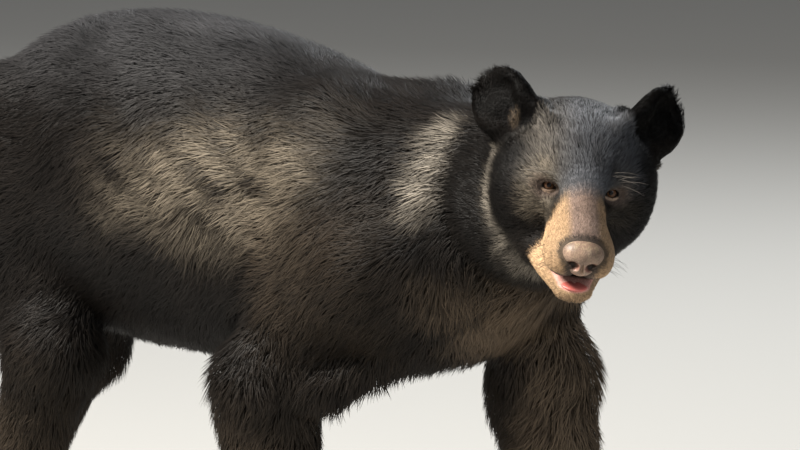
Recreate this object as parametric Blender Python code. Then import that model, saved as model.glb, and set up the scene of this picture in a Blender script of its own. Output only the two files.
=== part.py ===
"""A life-size black bear in mid stride, looking back to its right.

The whole animal is one field of distances, made of named ovals and tapered bones that
melt into each other. The field is meshed, thinned out and parted into its anatomy, with
a gap of GAP between neighbours. While it is modelled, the bear faces +X with its left
side at +Y, and the soles of its paws are flat at z = 0. All lengths are metres and reach
out to the tips of the coat.
"""

import math

import bmesh
import bpy
import numpy as np
from mathutils import Matrix, Vector

GAP = 0.0003  # between neighbouring solids
MERGE = 0.000001  # corners closer than this become one

# Trunk: place along the bear, height of the back, height of the belly, half width
TRUNK = (
    (-0.47, 0.770, 0.450, 0.145),
    (-0.34, 0.834, 0.405, 0.188),
    (-0.18, 0.857, 0.372, 0.212),
    (0.00, 0.842, 0.364, 0.220),
    (0.16, 0.806, 0.364, 0.208),
    (0.30, 0.766, 0.388, 0.174),
    (0.42, 0.705, 0.425, 0.135),
)
TRUNK_ENDS = 0.13  # how far the rounded ends reach past the last places

# Legs: name, side (+1 left), shoulder or hip, elbow or knee, wrist or ankle
FORE_LEGS = (
    ("fore_left", 1, (0.405, 0.115, 0.560), (0.436, 0.146, 0.370), (0.478, 0.142, 0.108)),
    ("fore_right", -1, (0.330, -0.115, 0.560), (0.196, -0.156, 0.365), (0.196, -0.142, 0.108)),
)
HIND_LEGS = (
    ("hind_left", 1, (-0.390, 0.095, 0.560), (-0.485, 0.112, 0.350), (-0.640, 0.110, 0.112)),
    ("hind_right", -1, (-0.365, -0.100, 0.560), (-0.268, -0.138, 0.378), (-0.374, -0.125, 0.112)),
)

# Half thicknesses of the legs: across the bear, along the bear
BLADE_TOP, BLADE_POINT = (0.070, 0.095), (0.075, 0.110)
UPPER_ARM, ELBOW, FOREARM, WRIST = (0.068, 0.090), (0.064, 0.078), (0.074, 0.090), (0.054, 0.060)
ELBOW_KNOB = (0.044, 0.045, 0.050)
# The fold of loose skin from the drawn-back elbow to the breast: how far in front of it, in from it
# and above it each end lies, and the half thicknesses there
ARM_FOLD = ((0.085, 0.020, 0.006), (0.200, 0.120, 0.082), (0.048, 0.050), (0.036, 0.038))
HAUNCH = (0.165, 0.095, 0.195)
THIGH, KNEE, SHANK, ANKLE = (0.085, 0.140), (0.062, 0.080), (0.062, 0.076), (0.045, 0.054)

# Paws: length in front of and behind the wrist or ankle, claw length, claw half height
PAWS = {"fore": (0.105, 0.010, 0.040, 0.0066), "hind": (0.150, 0.035, 0.032, 0.0060)}
PAW_TOP = 0.108  # height of the cut between lower leg and paw
PAW_TOES_IN = math.radians(4)
TOES = 5
TOE_SPREAD = 0.037  # from the middle toe to the outer one
TOE_HEIGHT = 0.019
CLAW_SIDES = 5
CLAW_RINGS = 2

# Head: the point between the eyes, and how the head is turned
EYES_MIDDLE = Vector((0.7232, -0.0808, 0.6712))
HEAD_YAW, HEAD_PITCH, HEAD_ROLL = (math.radians(angle) for angle in (-41, 14.3, 8.1))

# Forms of the head in its own axes (nose +X, left +Y): centre, half sizes, softness of the join.
# Those with a centre off the middle are on both sides.
HEAD_FORMS = {
    "cranium": ((-0.092, 0, 0.006), (0.108, 0.100, 0.086), 0.04),
    "forehead": ((-0.038, 0, 0.014), (0.066, 0.066, 0.050), 0.04),
    "cheek": ((-0.078, 0.061, -0.030), (0.078, 0.055, 0.078), 0.045),
    "lip_pad": ((0.090, 0.020, -0.060), (0.051, 0.029, 0.031), 0.020),
    "mouth_corner": ((0.026, 0.014, -0.064), (0.050, 0.026, 0.032), 0.018),
}
BRIDGE = ((-0.030, 0, -0.010), (0.112, 0, -0.040), (0.040, 0.040), (0.032, 0.028))
JAW = ((-0.050, 0, -0.096), (0.096, 0, -0.111), (0.072, 0.042), (0.027, 0.016))
EYE_SOCKET = ((0.020, 0.0435, 0.000), (0.022, 0.013, 0.010))
BROW = ((0.000, 0.040, 0.018), (0.014, 0.018, 0.008))
MOUTH = ((0.080, 0, -0.0885), (0.150, 0, -0.1010), (0.060, 0.0030), (0.060, 0.0105))  # the parting of the lips
LIPS = -0.0945  # height of the cut between head and lower jaw
EYE = Vector((0.001, 0.0425, 0.0))
EYE_RADIUS = 0.0105
EARS = {1: Vector((-0.092, 0.107, 0.078)), -1: Vector((-0.092, -0.113, 0.078))}  # left, right
EAR_RADIUS = 0.049
NOSE_TIP = Vector((0.147, 0.0, -0.050))
TONGUE = ((0.088, 0, -0.1035), (0.026, 0.017, 0.0050))

# How the body is parted
HEAD_CUT = Vector((-0.135, 0, 0))  # in the head's own axes
NECK_CUT = Vector((0.385, 0, 0.60))
CHEST_CUT = Vector((-0.06, 0, 0.60))
TAIL_CUT = ((-0.640, 0, 0.650), (0.075, 0.060, 0.105))
JAW_CUT = -0.030  # where the lower jaw begins, in the head's own axes
LEG_CUT_OUT = 0.172  # middle of the oval cutters, out from the middle of the bear
LEG_CUT_SIZE = (0.220, 0.145)
LEG_CUT_PAST = (0.125, 0.250)  # how far they reach past shoulder or hip, and past the wrist

LEGS_ONLY = 0.30  # nothing but legs lies below this height

# Triangles of each mesh before the cuts
BODY_TRIANGLES = 1750
LEG_TRIANGLES = 370
HEAD_TRIANGLES = 1550
NOSE_TRIANGLES = 180

# Colours and roughness
MATERIALS = {
    "fur": ((0.012, 0.011, 0.011), 0.70),
    "nose_leather": ((0.100, 0.075, 0.065), 0.45),
    "tongue_flesh": ((0.550, 0.120, 0.100), 0.35),
    "claw_horn": ((0.030, 0.026, 0.022), 0.35),
    "eye_glass": ((0.060, 0.030, 0.012), 0.05),
}


# ---------------------------------------------------------------- distances

def blend(first, second, width):
    """Union of two distances, with the crease between them filled over a width."""
    share = np.clip(0.5 + 0.5 * (second - first) / width, 0, 1)
    return second + (first - second) * share - width * share * (1 - share)


def carve(solid, hollow, width):
    """A distance with another one taken away, with a soft rim."""
    return -blend(-solid, hollow, width)


def scaled_distance(scaled, sizes):
    """Distance to an oval surface, from coordinates divided by its half sizes."""
    reach = np.linalg.norm(scaled, axis=1)
    slope = np.linalg.norm(scaled / sizes, axis=1)
    return reach * (reach - 1) / np.maximum(slope, 1e-9)


def oval(points, centre, sizes, axes=None):
    """Distance to an ellipsoid, close near its surface."""
    local = points - np.asarray(centre)
    if axes is not None:
        local = local @ np.asarray(axes)
    return scaled_distance(local / np.asarray(sizes), np.asarray(sizes))


def bone(points, start, end, start_sizes, end_sizes, side=(0, 1, 0)):
    """Distance to a tapered oval bar; sizes are half thicknesses (along side, the other way)."""
    start, end = np.asarray(start, float), np.asarray(end, float)
    length = np.linalg.norm(end - start)
    along = (end - start) / length
    across = np.asarray(side, float) - np.dot(side, along) * along
    across /= np.linalg.norm(across)
    other = np.cross(along, across)
    local = points - start
    place = local @ along
    share = np.clip(place / length, 0, 1)
    wide = start_sizes[0] + (end_sizes[0] - start_sizes[0]) * share
    deep = start_sizes[1] + (end_sizes[1] - start_sizes[1]) * share
    sizes = np.stack((wide, deep, np.sqrt(wide * deep)), axis=1)
    around = np.stack((local @ across, local @ other, place - share * length), axis=1)
    return scaled_distance(around / sizes, sizes)


def smooth_through(places, values, where):
    """A smooth curve through values at places, read at where."""
    slopes = np.gradient(values, places)
    index = np.clip(np.searchsorted(places, where) - 1, 0, len(places) - 2)
    span = places[index + 1] - places[index]
    t = (where - places[index]) / span
    start = (2 * t**3 - 3 * t**2 + 1) * values[index] + (t**3 - 2 * t**2 + t) * span * slopes[index]
    end = (3 * t**2 - 2 * t**3) * values[index + 1] + (t**3 - t**2) * span * slopes[index + 1]
    return start + end


# ---------------------------------------------------------------- trunk, legs and paws

def trunk_field(points):
    """Rump, barrel and chest as one oval tube whose size changes along the bear."""
    places, backs, bellies, widths = np.array(TRUNK).T
    where = np.clip(points[:, 0], places[0], places[-1])
    back = smooth_through(places, backs, where)
    belly = smooth_through(places, bellies, where)
    wide = smooth_through(places, widths, where)
    middle, tall = (back + belly) / 2, (back - belly) / 2
    sizes = np.stack((np.full_like(wide, TRUNK_ENDS), wide, tall), axis=1)
    around = np.stack((points[:, 0] - where, points[:, 1], points[:, 2] - middle), axis=1)
    return scaled_distance(around / sizes, sizes)


def tail_field(points):
    """The short tail, hanging close against the rump."""
    return bone(points, (-0.535, 0, 0.715), (-0.612, 0, 0.622), (0.036, 0.028), (0.019, 0.016))


def shoulder_field(points, side, shoulder):
    """The shoulder blade's muscle, from near the withers to the point of the shoulder."""
    top = (shoulder[0] - 0.09, side * 0.085, 0.690)
    point = (shoulder[0] + 0.02, side * 0.135, 0.545)
    return bone(points, top, point, BLADE_TOP, BLADE_POINT)


def fore_leg_field(points, side, shoulder, elbow, wrist):
    """Upper arm, forearm and the knob of the elbow."""
    upper = bone(points, shoulder, elbow, UPPER_ARM, ELBOW)
    lower = bone(points, elbow, wrist, FOREARM, WRIST)
    knob = oval(points, (elbow[0] - 0.043, elbow[1], elbow[2] - 0.040), ELBOW_KNOB)
    limb = blend(blend(upper, lower, 0.035), knob, 0.03)
    near, far = ((elbow[0] + ahead, elbow[1] - side * inward, elbow[2] + above)
                 for ahead, inward, above in ARM_FOLD[:2])
    return blend(limb, bone(points, near, far, *ARM_FOLD[2:]), 0.03) if elbow[0] < shoulder[0] else limb


def hind_leg_field(points, side, hip, knee, ankle):
    """Haunch, thigh and shank, down to the heel."""
    haunch = oval(points, (hip[0] - 0.03, side * 0.115, 0.575), HAUNCH)
    thigh = bone(points, hip, knee, THIGH, KNEE)
    shank = bone(points, knee, ankle, SHANK, ANKLE)
    return blend(blend(haunch, thigh, 0.06), shank, 0.05)


def paw_axes(side):
    """Forward and leftward directions of a paw, which points a little inwards."""
    forward = np.array((math.cos(PAW_TOES_IN), -side * math.sin(PAW_TOES_IN), 0.0))
    return forward, np.array((-forward[1], forward[0], 0.0))


def toe_places(wrist, side, length):
    """Centre of each toe's last joint, from right to left."""
    forward, left = paw_axes(side)
    places = []
    for toe in range(TOES):
        across = 2 * toe / (TOES - 1) - 1
        reach = length - 0.022 * abs(across) ** 1.8
        foot = np.array((wrist[0], wrist[1], TOE_HEIGHT))
        places.append(foot + forward * reach + left * across * TOE_SPREAD)
    return places


def paw_field(points, side, wrist, length, heel):
    """A flat broad paw with five toes below a wrist or ankle."""
    forward, left = paw_axes(side)
    ground = np.array((wrist[0], wrist[1], 0.0))
    up = np.array((0.0, 0.0, 1.0))
    back = ground - forward * heel + up * 0.030
    front = ground + forward * (length - 0.040) + up * 0.024
    sole = bone(points, back, front, (0.036, 0.038), (0.046, 0.030), left)
    instep = ground + forward * length * 0.35 + up * 0.035
    rise = bone(points, wrist, instep, (0.050, 0.054), (0.043, 0.036))
    paw = blend(sole, rise, 0.035)
    for place in toe_places(wrist, side, length):
        knuckle = place - forward * 0.035 + up * 0.006
        toe = bone(points, knuckle, place, (0.0125, 0.020), (0.0115, 0.0165), left)
        paw = blend(paw, toe, 0.012)
    return paw


def leg_field(points, leg):
    """One whole leg with its paw."""
    name, side, top, middle, bottom = leg
    length, heel = PAWS[name[:4]][:2]
    limb = fore_leg_field if name.startswith("fore") else hind_leg_field
    return blend(limb(points, side, top, middle, bottom),
                 paw_field(points, side, bottom, length, heel), 0.035)


# ---------------------------------------------------------------- head and neck

def head_turn():
    """Rotation from the head's own axes to the bear's."""
    return (Matrix.Rotation(HEAD_YAW, 3, "Z") @ Matrix.Rotation(HEAD_PITCH, 3, "Y")
            @ Matrix.Rotation(-HEAD_ROLL, 3, "X"))


def head_to_bear(point):
    """A point given in the head's own axes, in the bear's."""
    return EYES_MIDDLE + head_turn() @ Vector(point)


def bear_to_head(points):
    """Points of the bear, in the head's own axes."""
    return (points - np.array(EYES_MIDDLE)) @ np.array(head_turn())


def both_sides(points):
    """Points of the head with those on the right mirrored to the left."""
    return np.stack((points[:, 0], np.abs(points[:, 1]), points[:, 2]), axis=1)


def skull_field(points):
    """Cranium, forehead, cheeks, muzzle and lower jaw, in the head's own axes."""
    paired = both_sides(points)
    field = bone(points, *BRIDGE)
    for centre, sizes, softness in HEAD_FORMS.values():
        field = blend(field, oval(paired, centre, sizes), softness)
    return blend(field, bone(points, *JAW), 0.022)


def ear_axes(side):
    """The ear's own axes as columns: the way its cup faces, across it, and up its middle."""
    faces = Vector((0.80, side * 0.58, 0.12)).normalized()
    up = Vector((0, side * 0.30, 1.0))
    up = (up - up.dot(faces) * faces).normalized()
    return np.array((faces, up.cross(faces), up)).T


def ear_field(points, side):
    """A round cupped ear on a short root, in the head's own axes."""
    axes = ear_axes(side)
    centre = np.array(EARS[side])
    shell = oval(points, centre, (0.021, EAR_RADIUS * 0.94, EAR_RADIUS), axes)
    hollow = oval(points, centre + axes @ (0.020, 0, 0.002), (0.022, 0.035, 0.038), axes)
    root_top = centre + axes @ (-0.010, 0, -0.020)
    root_foot = centre + (-0.005, -side * 0.043, -0.032)
    root = bone(points, root_top, root_foot, (0.030, 0.024), (0.040, 0.036))
    rim_top = centre + axes @ (0.002, -side * 0.036, 0.012)
    rim_foot = centre + (0.042, -side * 0.062, -0.008)
    rim = bone(points, rim_top, rim_foot, (0.010, 0.012), (0.014, 0.018))
    return blend(blend(carve(shell, hollow, 0.008), root, 0.022), rim, 0.014)


def head_field(points):
    """The head with its eye sockets, parted lips and ears."""
    own = bear_to_head(points)
    paired = both_sides(own)
    field = carve(skull_field(own), oval(paired, *EYE_SOCKET), 0.012)
    field = blend(field, oval(paired, *BROW), 0.012)
    field = carve(field, bone(own, *MOUTH), 0.005)
    for side in (-1, 1):
        field = blend(field, ear_field(own, side), 0.016)
    return field


def neck_field(points):
    """The thick neck and the throat, from the shoulders to the back of the skull."""
    skull = head_to_bear((-0.105, 0, -0.020))
    nape = bone(points, (0.300, 0, 0.588), skull, (0.150, 0.160), (0.097, 0.104))
    jowl = head_to_bear((-0.075, 0, -0.075))
    throat = bone(points, (0.400, 0, 0.514), jowl, (0.130, 0.110), (0.078, 0.066))
    return blend(nape, throat, 0.06)


def body_field(points):
    """The whole bear, without its eyes, nose, tongue and claws."""
    field = trunk_field(points)
    for leg in FORE_LEGS:
        field = blend(field, shoulder_field(points, leg[1], leg[2]), 0.07)
    for leg in FORE_LEGS + HIND_LEGS:
        field = blend(field, leg_field(points, leg), 0.05)
    field = blend(field, neck_field(points), 0.08)
    field = blend(field, head_field(points), 0.015)
    return blend(field, tail_field(points), 0.02)


def nose_field(points):
    """The leathery nose with its two comma-shaped nostrils and the groove below."""
    own = bear_to_head(points)
    tip = np.array(NOSE_TIP)
    pad = oval(own, tip + (-0.020, 0, 0.004), (0.024, 0.030, 0.022))
    chin = oval(own, tip + (-0.020, 0, -0.012), (0.0205, 0.018, 0.015))
    paired = both_sides(own)
    nostril = oval(paired, tip + (0.002, 0.0125, -0.005), (0.013, 0.0068, 0.0058))
    slit = bone(paired, tip + (0.000, 0.016, -0.005), tip + (-0.014, 0.027, -0.010),
                (0.0032, 0.0034), (0.0026, 0.0028), (0, 0, 1))
    groove = oval(own, tip + (0.004, 0, -0.020), (0.010, 0.0024, 0.016))
    pad = carve(blend(pad, chin, 0.010), blend(nostril, slit, 0.003), 0.003)
    return carve(pad, groove, 0.003)


# ---------------------------------------------------------------- meshing

def close_diagonals(value, step):
    """Fill grid squares that are inside at two opposite corners only, so no edge is shared twice."""
    value = value.copy()
    open_squares = True
    while open_squares:
        open_squares = False
        for axis in range(3):
            corners = []
            for first, second in ((0, 0), (1, 0), (0, 1), (1, 1)):
                offsets = [first, second]
                offsets.insert(axis, None)
                corners.append(tuple(slice(None) if offset is None else slice(offset, size - 1 + offset)
                                     for offset, size in zip(offsets, value.shape)))
            a, b, c, d = (value[corner] < 0 for corner in corners)
            crossed = (a == d) & (b == c) & (a != b)
            if crossed.any():
                open_squares = True
                for corner in corners:
                    part = value[corner]
                    part[crossed] = np.minimum(part[crossed], -0.05 * step)
    return value


def cell_points(value, grid, step):
    """For each cube of the grid, whether the surface crosses it, and the mean crossing point."""
    inside = value < 0
    cells = tuple(size - 1 for size in value.shape)
    total = np.zeros(cells + (3,))
    count = np.zeros(cells)
    for axis in range(3):
        near = tuple(slice(0, -1) if other == axis else slice(None) for other in range(3))
        far = tuple(slice(1, None) if other == axis else slice(None) for other in range(3))
        crossed = inside[near] != inside[far]
        share = np.where(crossed, value[near] / np.where(crossed, value[near] - value[far], 1), 0)
        place = grid[near].copy()
        place[..., axis] += share * step
        for first in (0, 1):
            for second in (0, 1):
                offsets = [first, second]
                offsets.insert(axis, 0)
                window = tuple(slice(offset, offset + size) for offset, size in zip(offsets, cells))
                total += place[window] * crossed[window][..., None]
                count += crossed[window]
    used = count > 0
    return used, total[used] / count[used][:, None]


def mesh_of_field(field, low, high, step):
    """The surface of a field: one point in each cube that it crosses, a face across each edge."""
    lines = [np.arange(start, end + step, step) for start, end in zip(low, high)]
    shape = tuple(len(line) for line in lines)
    grid = np.stack(np.meshgrid(*lines, indexing="ij"), axis=-1)
    value = field(grid.reshape(-1, 3)).reshape(shape)
    border = np.ones(shape, bool)
    border[1:-1, 1:-1, 1:-1] = False
    value = close_diagonals(np.where(border, np.maximum(value, step / 2), value), step)
    used, points = cell_points(value, grid, step)
    number = np.full(used.shape, -1)
    number[used] = np.arange(len(points))

    faces = []
    for axis in range(3):
        near = tuple(slice(0, -1) if other == axis else slice(1, -1) for other in range(3))
        far = tuple(slice(1, None) if other == axis else slice(1, -1) for other in range(3))
        starts, ends = value[near] < 0, value[far] < 0
        where = np.argwhere(starts != ends)
        leaving = starts[tuple(where.T)]
        first, second = (axis + 1) % 3, (axis + 2) % 3
        ring = []
        for step_first, step_second in ((0, 0), (1, 0), (1, 1), (0, 1)):
            cell = where.copy()
            cell[:, first] += step_first
            cell[:, second] += step_second
            ring.append(number[tuple(cell.T)])
        ring = np.stack(ring, axis=1)
        ring[~leaving] = ring[~leaving][:, ::-1]
        faces.append(ring)
    return points, np.concatenate(faces)


def object_of(mesh, name):
    """Turn a bmesh into an object and free it."""
    data = bpy.data.meshes.new(name)
    mesh.to_mesh(data)
    mesh.free()
    item = bpy.data.objects.new(name, data)
    bpy.context.collection.objects.link(item)
    return item


def field_object(name, field, low, high, step, triangles):
    """An object of a field's surface, thinned to about a number of triangles."""
    points, faces = mesh_of_field(field, low, high, step)
    mesh = bmesh.new()
    corners = [mesh.verts.new(point) for point in points]
    for face in faces:
        mesh.faces.new([corners[index] for index in face])
    item = object_of(mesh, name)
    thin = item.modifiers.new("thin", "DECIMATE")
    thin.ratio = min(1.0, triangles / (2 * len(faces)))
    apply_modifiers(item)
    return item


# ---------------------------------------------------------------- cutting

def apply_modifiers(item):
    """Replace an object's mesh by its evaluated one."""
    depsgraph = bpy.context.evaluated_depsgraph_get()
    mesh = bpy.data.meshes.new_from_object(item.evaluated_get(depsgraph))
    item.modifiers.clear()
    old = item.data
    item.data = mesh
    bpy.data.meshes.remove(old)


def cut(item, cutter, operation):
    """Apply a Boolean of an object with a cutter, and remove the cutter."""
    step = item.modifiers.new("cut", "BOOLEAN")
    step.operation = operation
    step.object = cutter
    apply_modifiers(item)
    bpy.data.objects.remove(cutter, do_unlink=True)


def copy_of(item, name):
    """A separate object with a copy of the mesh."""
    twin = item.copy()
    twin.data = item.data.copy()
    twin.name = name
    bpy.context.collection.objects.link(twin)
    return twin


def block(low, high, place=Matrix()):
    """A block between two corners, moved to its place."""
    low, high = Vector(low), Vector(high)
    mesh = bmesh.new()
    bmesh.ops.create_cube(mesh, size=1.0)
    size = Matrix.Translation((low + high) / 2) @ Matrix.Diagonal((*(high - low), 1))
    bmesh.ops.transform(mesh, matrix=place @ size, verts=mesh.verts)
    return object_of(mesh, "block")


def half_space(point, normal):
    """A large block on the side of a plane that its normal points to."""
    turn = Vector(normal).to_track_quat("Z", "Y").to_matrix().to_4x4()
    return block((-2, -2, 0), (2, 2, 4), Matrix.Translation(point) @ turn)


def egg(centre, sizes, turn=None, detail=2, name="egg"):
    """An ellipsoid of flat faces."""
    mesh = bmesh.new()
    bmesh.ops.create_icosphere(mesh, subdivisions=detail, radius=1.0)
    place = Matrix.Translation(centre)
    if turn is not None:
        place = place @ turn.to_4x4()
    bmesh.ops.transform(mesh, matrix=place @ Matrix.Diagonal((*sizes, 1)), verts=mesh.verts)
    return object_of(mesh, name)


def keep_side(item, point, normal):
    """Cut an object at a plane, half a gap in, and keep the side that the normal points to."""
    normal = Vector(normal).normalized()
    cut(item, half_space(Vector(point) + normal * GAP / 2, normal), "INTERSECT")


def split(item, name, point, normal):
    """Part an object at a plane: the piece along the normal gets the new name."""
    far = copy_of(item, name)
    keep_side(far, point, normal)
    keep_side(item, point, -Vector(normal))
    return far


def take_out(item, name, make_cutter):
    """Part an object by a closed cutter: what lies inside it gets the new name."""
    inner = copy_of(item, name)
    cut(inner, make_cutter(0.0), "INTERSECT")
    cut(item, make_cutter(GAP), "DIFFERENCE")
    return inner


def cut_clear(item, other):
    """Cut an object clear of another one, with the gap."""
    cutter = copy_of(other, "cutter")
    mesh = bmesh.new()
    mesh.from_mesh(cutter.data)
    mesh.normal_update()
    for vertex in mesh.verts:
        vertex.co += vertex.normal * GAP * vertex.calc_shell_factor()
    mesh.to_mesh(cutter.data)
    mesh.free()
    cut(item, cutter, "DIFFERENCE")


# ---------------------------------------------------------------- the nodes

def build_body():
    """Trunk, neck, tail and the tops of the legs, as one mesh."""
    return field_object("loin", body_field, (-0.76, -0.30, LEGS_ONLY - 0.04), (0.69, 0.30, 0.92),
                        0.0125, BODY_TRIANGLES)


def head_plane():
    """A point and the normal of the cut between neck and head."""
    return head_to_bear(HEAD_CUT), head_turn() @ Vector((1.0, 0, 0.30))


def leg_egg(leg, extra):
    """The closed cutter that takes a whole leg out of the body."""
    side = leg[1]
    top, _, bottom = (Vector(place) for place in leg[2:])
    z = (top - bottom).normalized()
    y = (Vector((0, 1, 0)) - z * z.y).normalized()
    above, below = top + z * LEG_CUT_PAST[0], bottom - z * LEG_CUT_PAST[1]
    centre = (above + below) / 2
    centre.y = side * LEG_CUT_OUT
    sizes = (*LEG_CUT_SIZE, (above - below).length / 2)
    turn = Matrix((y.cross(z), y, z)).transposed()
    return egg(centre, [size + extra for size in sizes], turn)


def build_lower_leg(leg):
    """The leg below the elbow or knee, with its paw and claws."""
    name, side = leg[:2]
    middle, bottom = Vector(leg[3]), Vector(leg[4])
    length = PAWS[name[:4]][0]
    low = np.minimum(middle, bottom) - (0.125, 0.105, bottom.z + 0.02)
    high = np.maximum(middle, bottom) + (0.125, 0.105, 0.14)
    high[0] = max(high[0], bottom.x + length + 0.04)
    lower = field_object(name + "_lower", body_field, low, high, 0.0072, LEG_TRIANGLES)
    keep_side(lower, middle, bottom - middle)
    paw = split(lower, name + "_paw", (0, 0, PAW_TOP), (0, 0, -1))
    cut(lower, leg_egg(leg, 0.0), "INTERSECT")
    cut(paw, half_space((0, 0, 0), (0, 0, 1)), "INTERSECT")
    return [lower, paw] + build_claws(leg, paw)


def part_body(body):
    """Divide the body into the tops of the legs, neck, chest, tail and loin."""
    nodes = [body]
    for leg in FORE_LEGS + HIND_LEGS:
        upper = take_out(body, leg[0] + "_upper", lambda extra: leg_egg(leg, extra))
        keep_side(upper, leg[3], Vector(leg[3]) - Vector(leg[4]))
        nodes.append(upper)
    keep_side(body, (0, 0, LEGS_ONLY), (0, 0, 1))
    neck = split(body, "neck", NECK_CUT, (1.0, 0, 0.25))
    point, normal = head_plane()
    keep_side(neck, point, -normal)
    chest = split(body, "chest", CHEST_CUT, (1, 0, 0))
    centre, sizes = TAIL_CUT
    tail = take_out(body, "tail", lambda extra: egg(centre, [size + extra for size in sizes]))
    return nodes + [neck, chest, tail]


def build_head():
    """The head, finer than the body, cut off behind the ears."""
    centre = np.array(head_to_bear((-0.02, 0, -0.005)))
    head = field_object("head", body_field, centre - 0.205, centre + 0.205, 0.0052, HEAD_TRIANGLES)
    keep_side(head, *head_plane())
    return head


def build_eye(side, name):
    """An eyeball."""
    mesh = bmesh.new()
    bmesh.ops.create_uvsphere(mesh, u_segments=10, v_segments=6, radius=EYE_RADIUS)
    gaze = (head_turn() @ Vector((1, side * 0.45, 0.05))).to_track_quat("Z", "Y")
    place = Matrix.Translation(head_to_bear((EYE.x, side * EYE.y, EYE.z)))
    bmesh.ops.transform(mesh, matrix=place @ gaze.to_matrix().to_4x4(), verts=mesh.verts)
    return object_of(mesh, name)


def build_nose():
    """The nose as a mesh of its field."""
    centre = np.array(head_to_bear(NOSE_TIP + Vector((-0.018, 0, -0.005))))
    return field_object("nose", nose_field, centre - 0.042, centre + 0.042, 0.0020, NOSE_TRIANGLES)


def part_head(head):
    """Divide the head into head, lower jaw, ears, eyes, nose and tongue."""
    place = Matrix.Translation(EYES_MIDDLE) @ head_turn().to_4x4()
    jaw = take_out(head, "lower_jaw", lambda extra: block(
        (JAW_CUT - extra, -0.15, -0.30), (0.30, 0.15, LIPS + extra), place))
    nodes = [head, jaw]
    for side, word in ((1, "left"), (-1, "right")):
        axes = Matrix([list(row) for row in ear_axes(side)])
        middle = EARS[side] + axes @ Vector((0, 0, 0.016))

        def ear_egg(extra, centre=head_to_bear(middle), turn=head_turn() @ axes):
            return egg(centre, (0.050 + extra, 0.062 + extra, 0.060 + extra), turn)

        eye = build_eye(side, "eye_" + word)
        nodes += [take_out(head, "ear_" + word, ear_egg), eye]
        cut_clear(head, eye)
    nose = build_nose()
    cut_clear(head, nose)
    centre, sizes = TONGUE
    tongue = egg(head_to_bear(centre), sizes, head_turn(), 1, "tongue")
    cut_clear(tongue, head)
    cut_clear(tongue, jaw)
    return nodes + [nose, tongue]


def build_claw(name, root, forward, length, height):
    """One curved claw that leaves its root along forward and bends down."""
    mesh = bmesh.new()
    up, ahead, place = Vector((0, 0, 1)), Vector(forward), Vector(root)
    left = up.cross(ahead)
    rings = []
    for ring in range(CLAW_RINGS + 1):
        share = ring / CLAW_RINGS
        slope = math.radians(18 - 70 * share)
        direction = ahead * math.cos(slope) + up * math.sin(slope)
        above = direction.cross(left)
        size = height * (1 - share) ** 0.75 + 0.0006
        if ring:
            place = place + direction * length / CLAW_RINGS
        angles = [2 * math.pi * corner / CLAW_SIDES for corner in range(CLAW_SIDES)]
        rings.append([mesh.verts.new(place + left * math.cos(angle) * size * 0.62
                                     + above * math.sin(angle) * size) for angle in angles])
    for near, far in zip(rings, rings[1:]):
        for corner in range(CLAW_SIDES):
            after = (corner + 1) % CLAW_SIDES
            mesh.faces.new((near[corner], near[after], far[after], far[corner]))
    mesh.faces.new(rings[0])
    mesh.faces.new(rings[-1])
    bmesh.ops.recalc_face_normals(mesh, faces=mesh.faces)
    return object_of(mesh, name)


def build_claws(leg, paw):
    """The five claws of a paw, which is cut clear of them."""
    name, side, _, _, wrist = leg
    length, _, claw_length, claw_height = PAWS[name[:4]]
    forward, _ = paw_axes(side)
    claws = []
    for number, place in enumerate(toe_places(wrist, side, length), start=1):
        root = place - forward * 0.005 + np.array((0, 0, 0.0063))
        claw = build_claw(f"{name}_claw_{number}", root, forward, claw_length, claw_height)
        cut_clear(paw, claw)
        claws.append(claw)
    return claws


# ---------------------------------------------------------------- finish

def keep_largest(mesh):
    """Drop the loose crumbs that a cut leaves, keeping the body with the most faces."""
    left = set(mesh.faces)
    bodies = []
    while left:
        body, edge = set(), [left.pop()]
        while edge:
            face = edge.pop()
            body.add(face)
            for side in face.edges:
                for other in side.link_faces:
                    if other in left:
                        left.discard(other)
                        edge.append(other)
        bodies.append(body)
    bodies.sort(key=len)
    for crumb in bodies[:-1]:
        bmesh.ops.delete(mesh, geom=list(crumb), context="FACES")


def finish(item, material):
    """Clean a node's mesh, shade it and give it its material."""
    mesh = bmesh.new()
    mesh.from_mesh(item.data)
    bmesh.ops.remove_doubles(mesh, verts=mesh.verts, dist=MERGE)
    bmesh.ops.dissolve_degenerate(mesh, edges=mesh.edges, dist=MERGE)
    keep_largest(mesh)
    bmesh.ops.delete(mesh, geom=[edge for edge in mesh.edges if edge.is_wire], context="EDGES")
    bmesh.ops.triangulate(mesh, faces=mesh.faces)
    mesh.to_mesh(item.data)
    mesh.free()
    item.data.materials.clear()
    item.data.materials.append(material)
    item.data.shade_smooth()
    item.data.set_sharp_from_angle(angle=math.radians(40))


def make_material(name):
    """A plain Principled material."""
    colour, roughness = MATERIALS[name]
    material = bpy.data.materials.new(name)
    material.use_nodes = True
    shader = material.node_tree.nodes["Principled BSDF"]
    shader.inputs["Base Color"].default_value = (*colour, 1)
    shader.inputs["Roughness"].default_value = roughness
    shader.inputs["Metallic"].default_value = 0.0
    return material


def material_of(node):
    """The name of a node's material."""
    if "claw" in node:
        return "claw_horn"
    if node.startswith("eye"):
        return "eye_glass"
    return {"nose": "nose_leather", "tongue": "tongue_flesh"}.get(node, "fur")


def main():
    """Model the bear, part it and stand it over the origin."""
    for item in list(bpy.data.objects):
        bpy.data.objects.remove(item, do_unlink=True)
    nodes = part_body(build_body()) + part_head(build_head())
    for leg in FORE_LEGS + HIND_LEGS:
        nodes += build_lower_leg(leg)
    materials = {name: make_material(name) for name in MATERIALS}
    for item in nodes:
        finish(item, materials[material_of(item.name)])
    corners = np.array([vertex.co[:] for item in nodes for vertex in item.data.vertices])
    low, high = corners.min(axis=0), corners.max(axis=0)
    shift = Matrix.Translation((-(low[0] + high[0]) / 2, -(low[1] + high[1]) / 2, -low[2]))
    for item in nodes:
        item.data.transform(shift)


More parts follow.
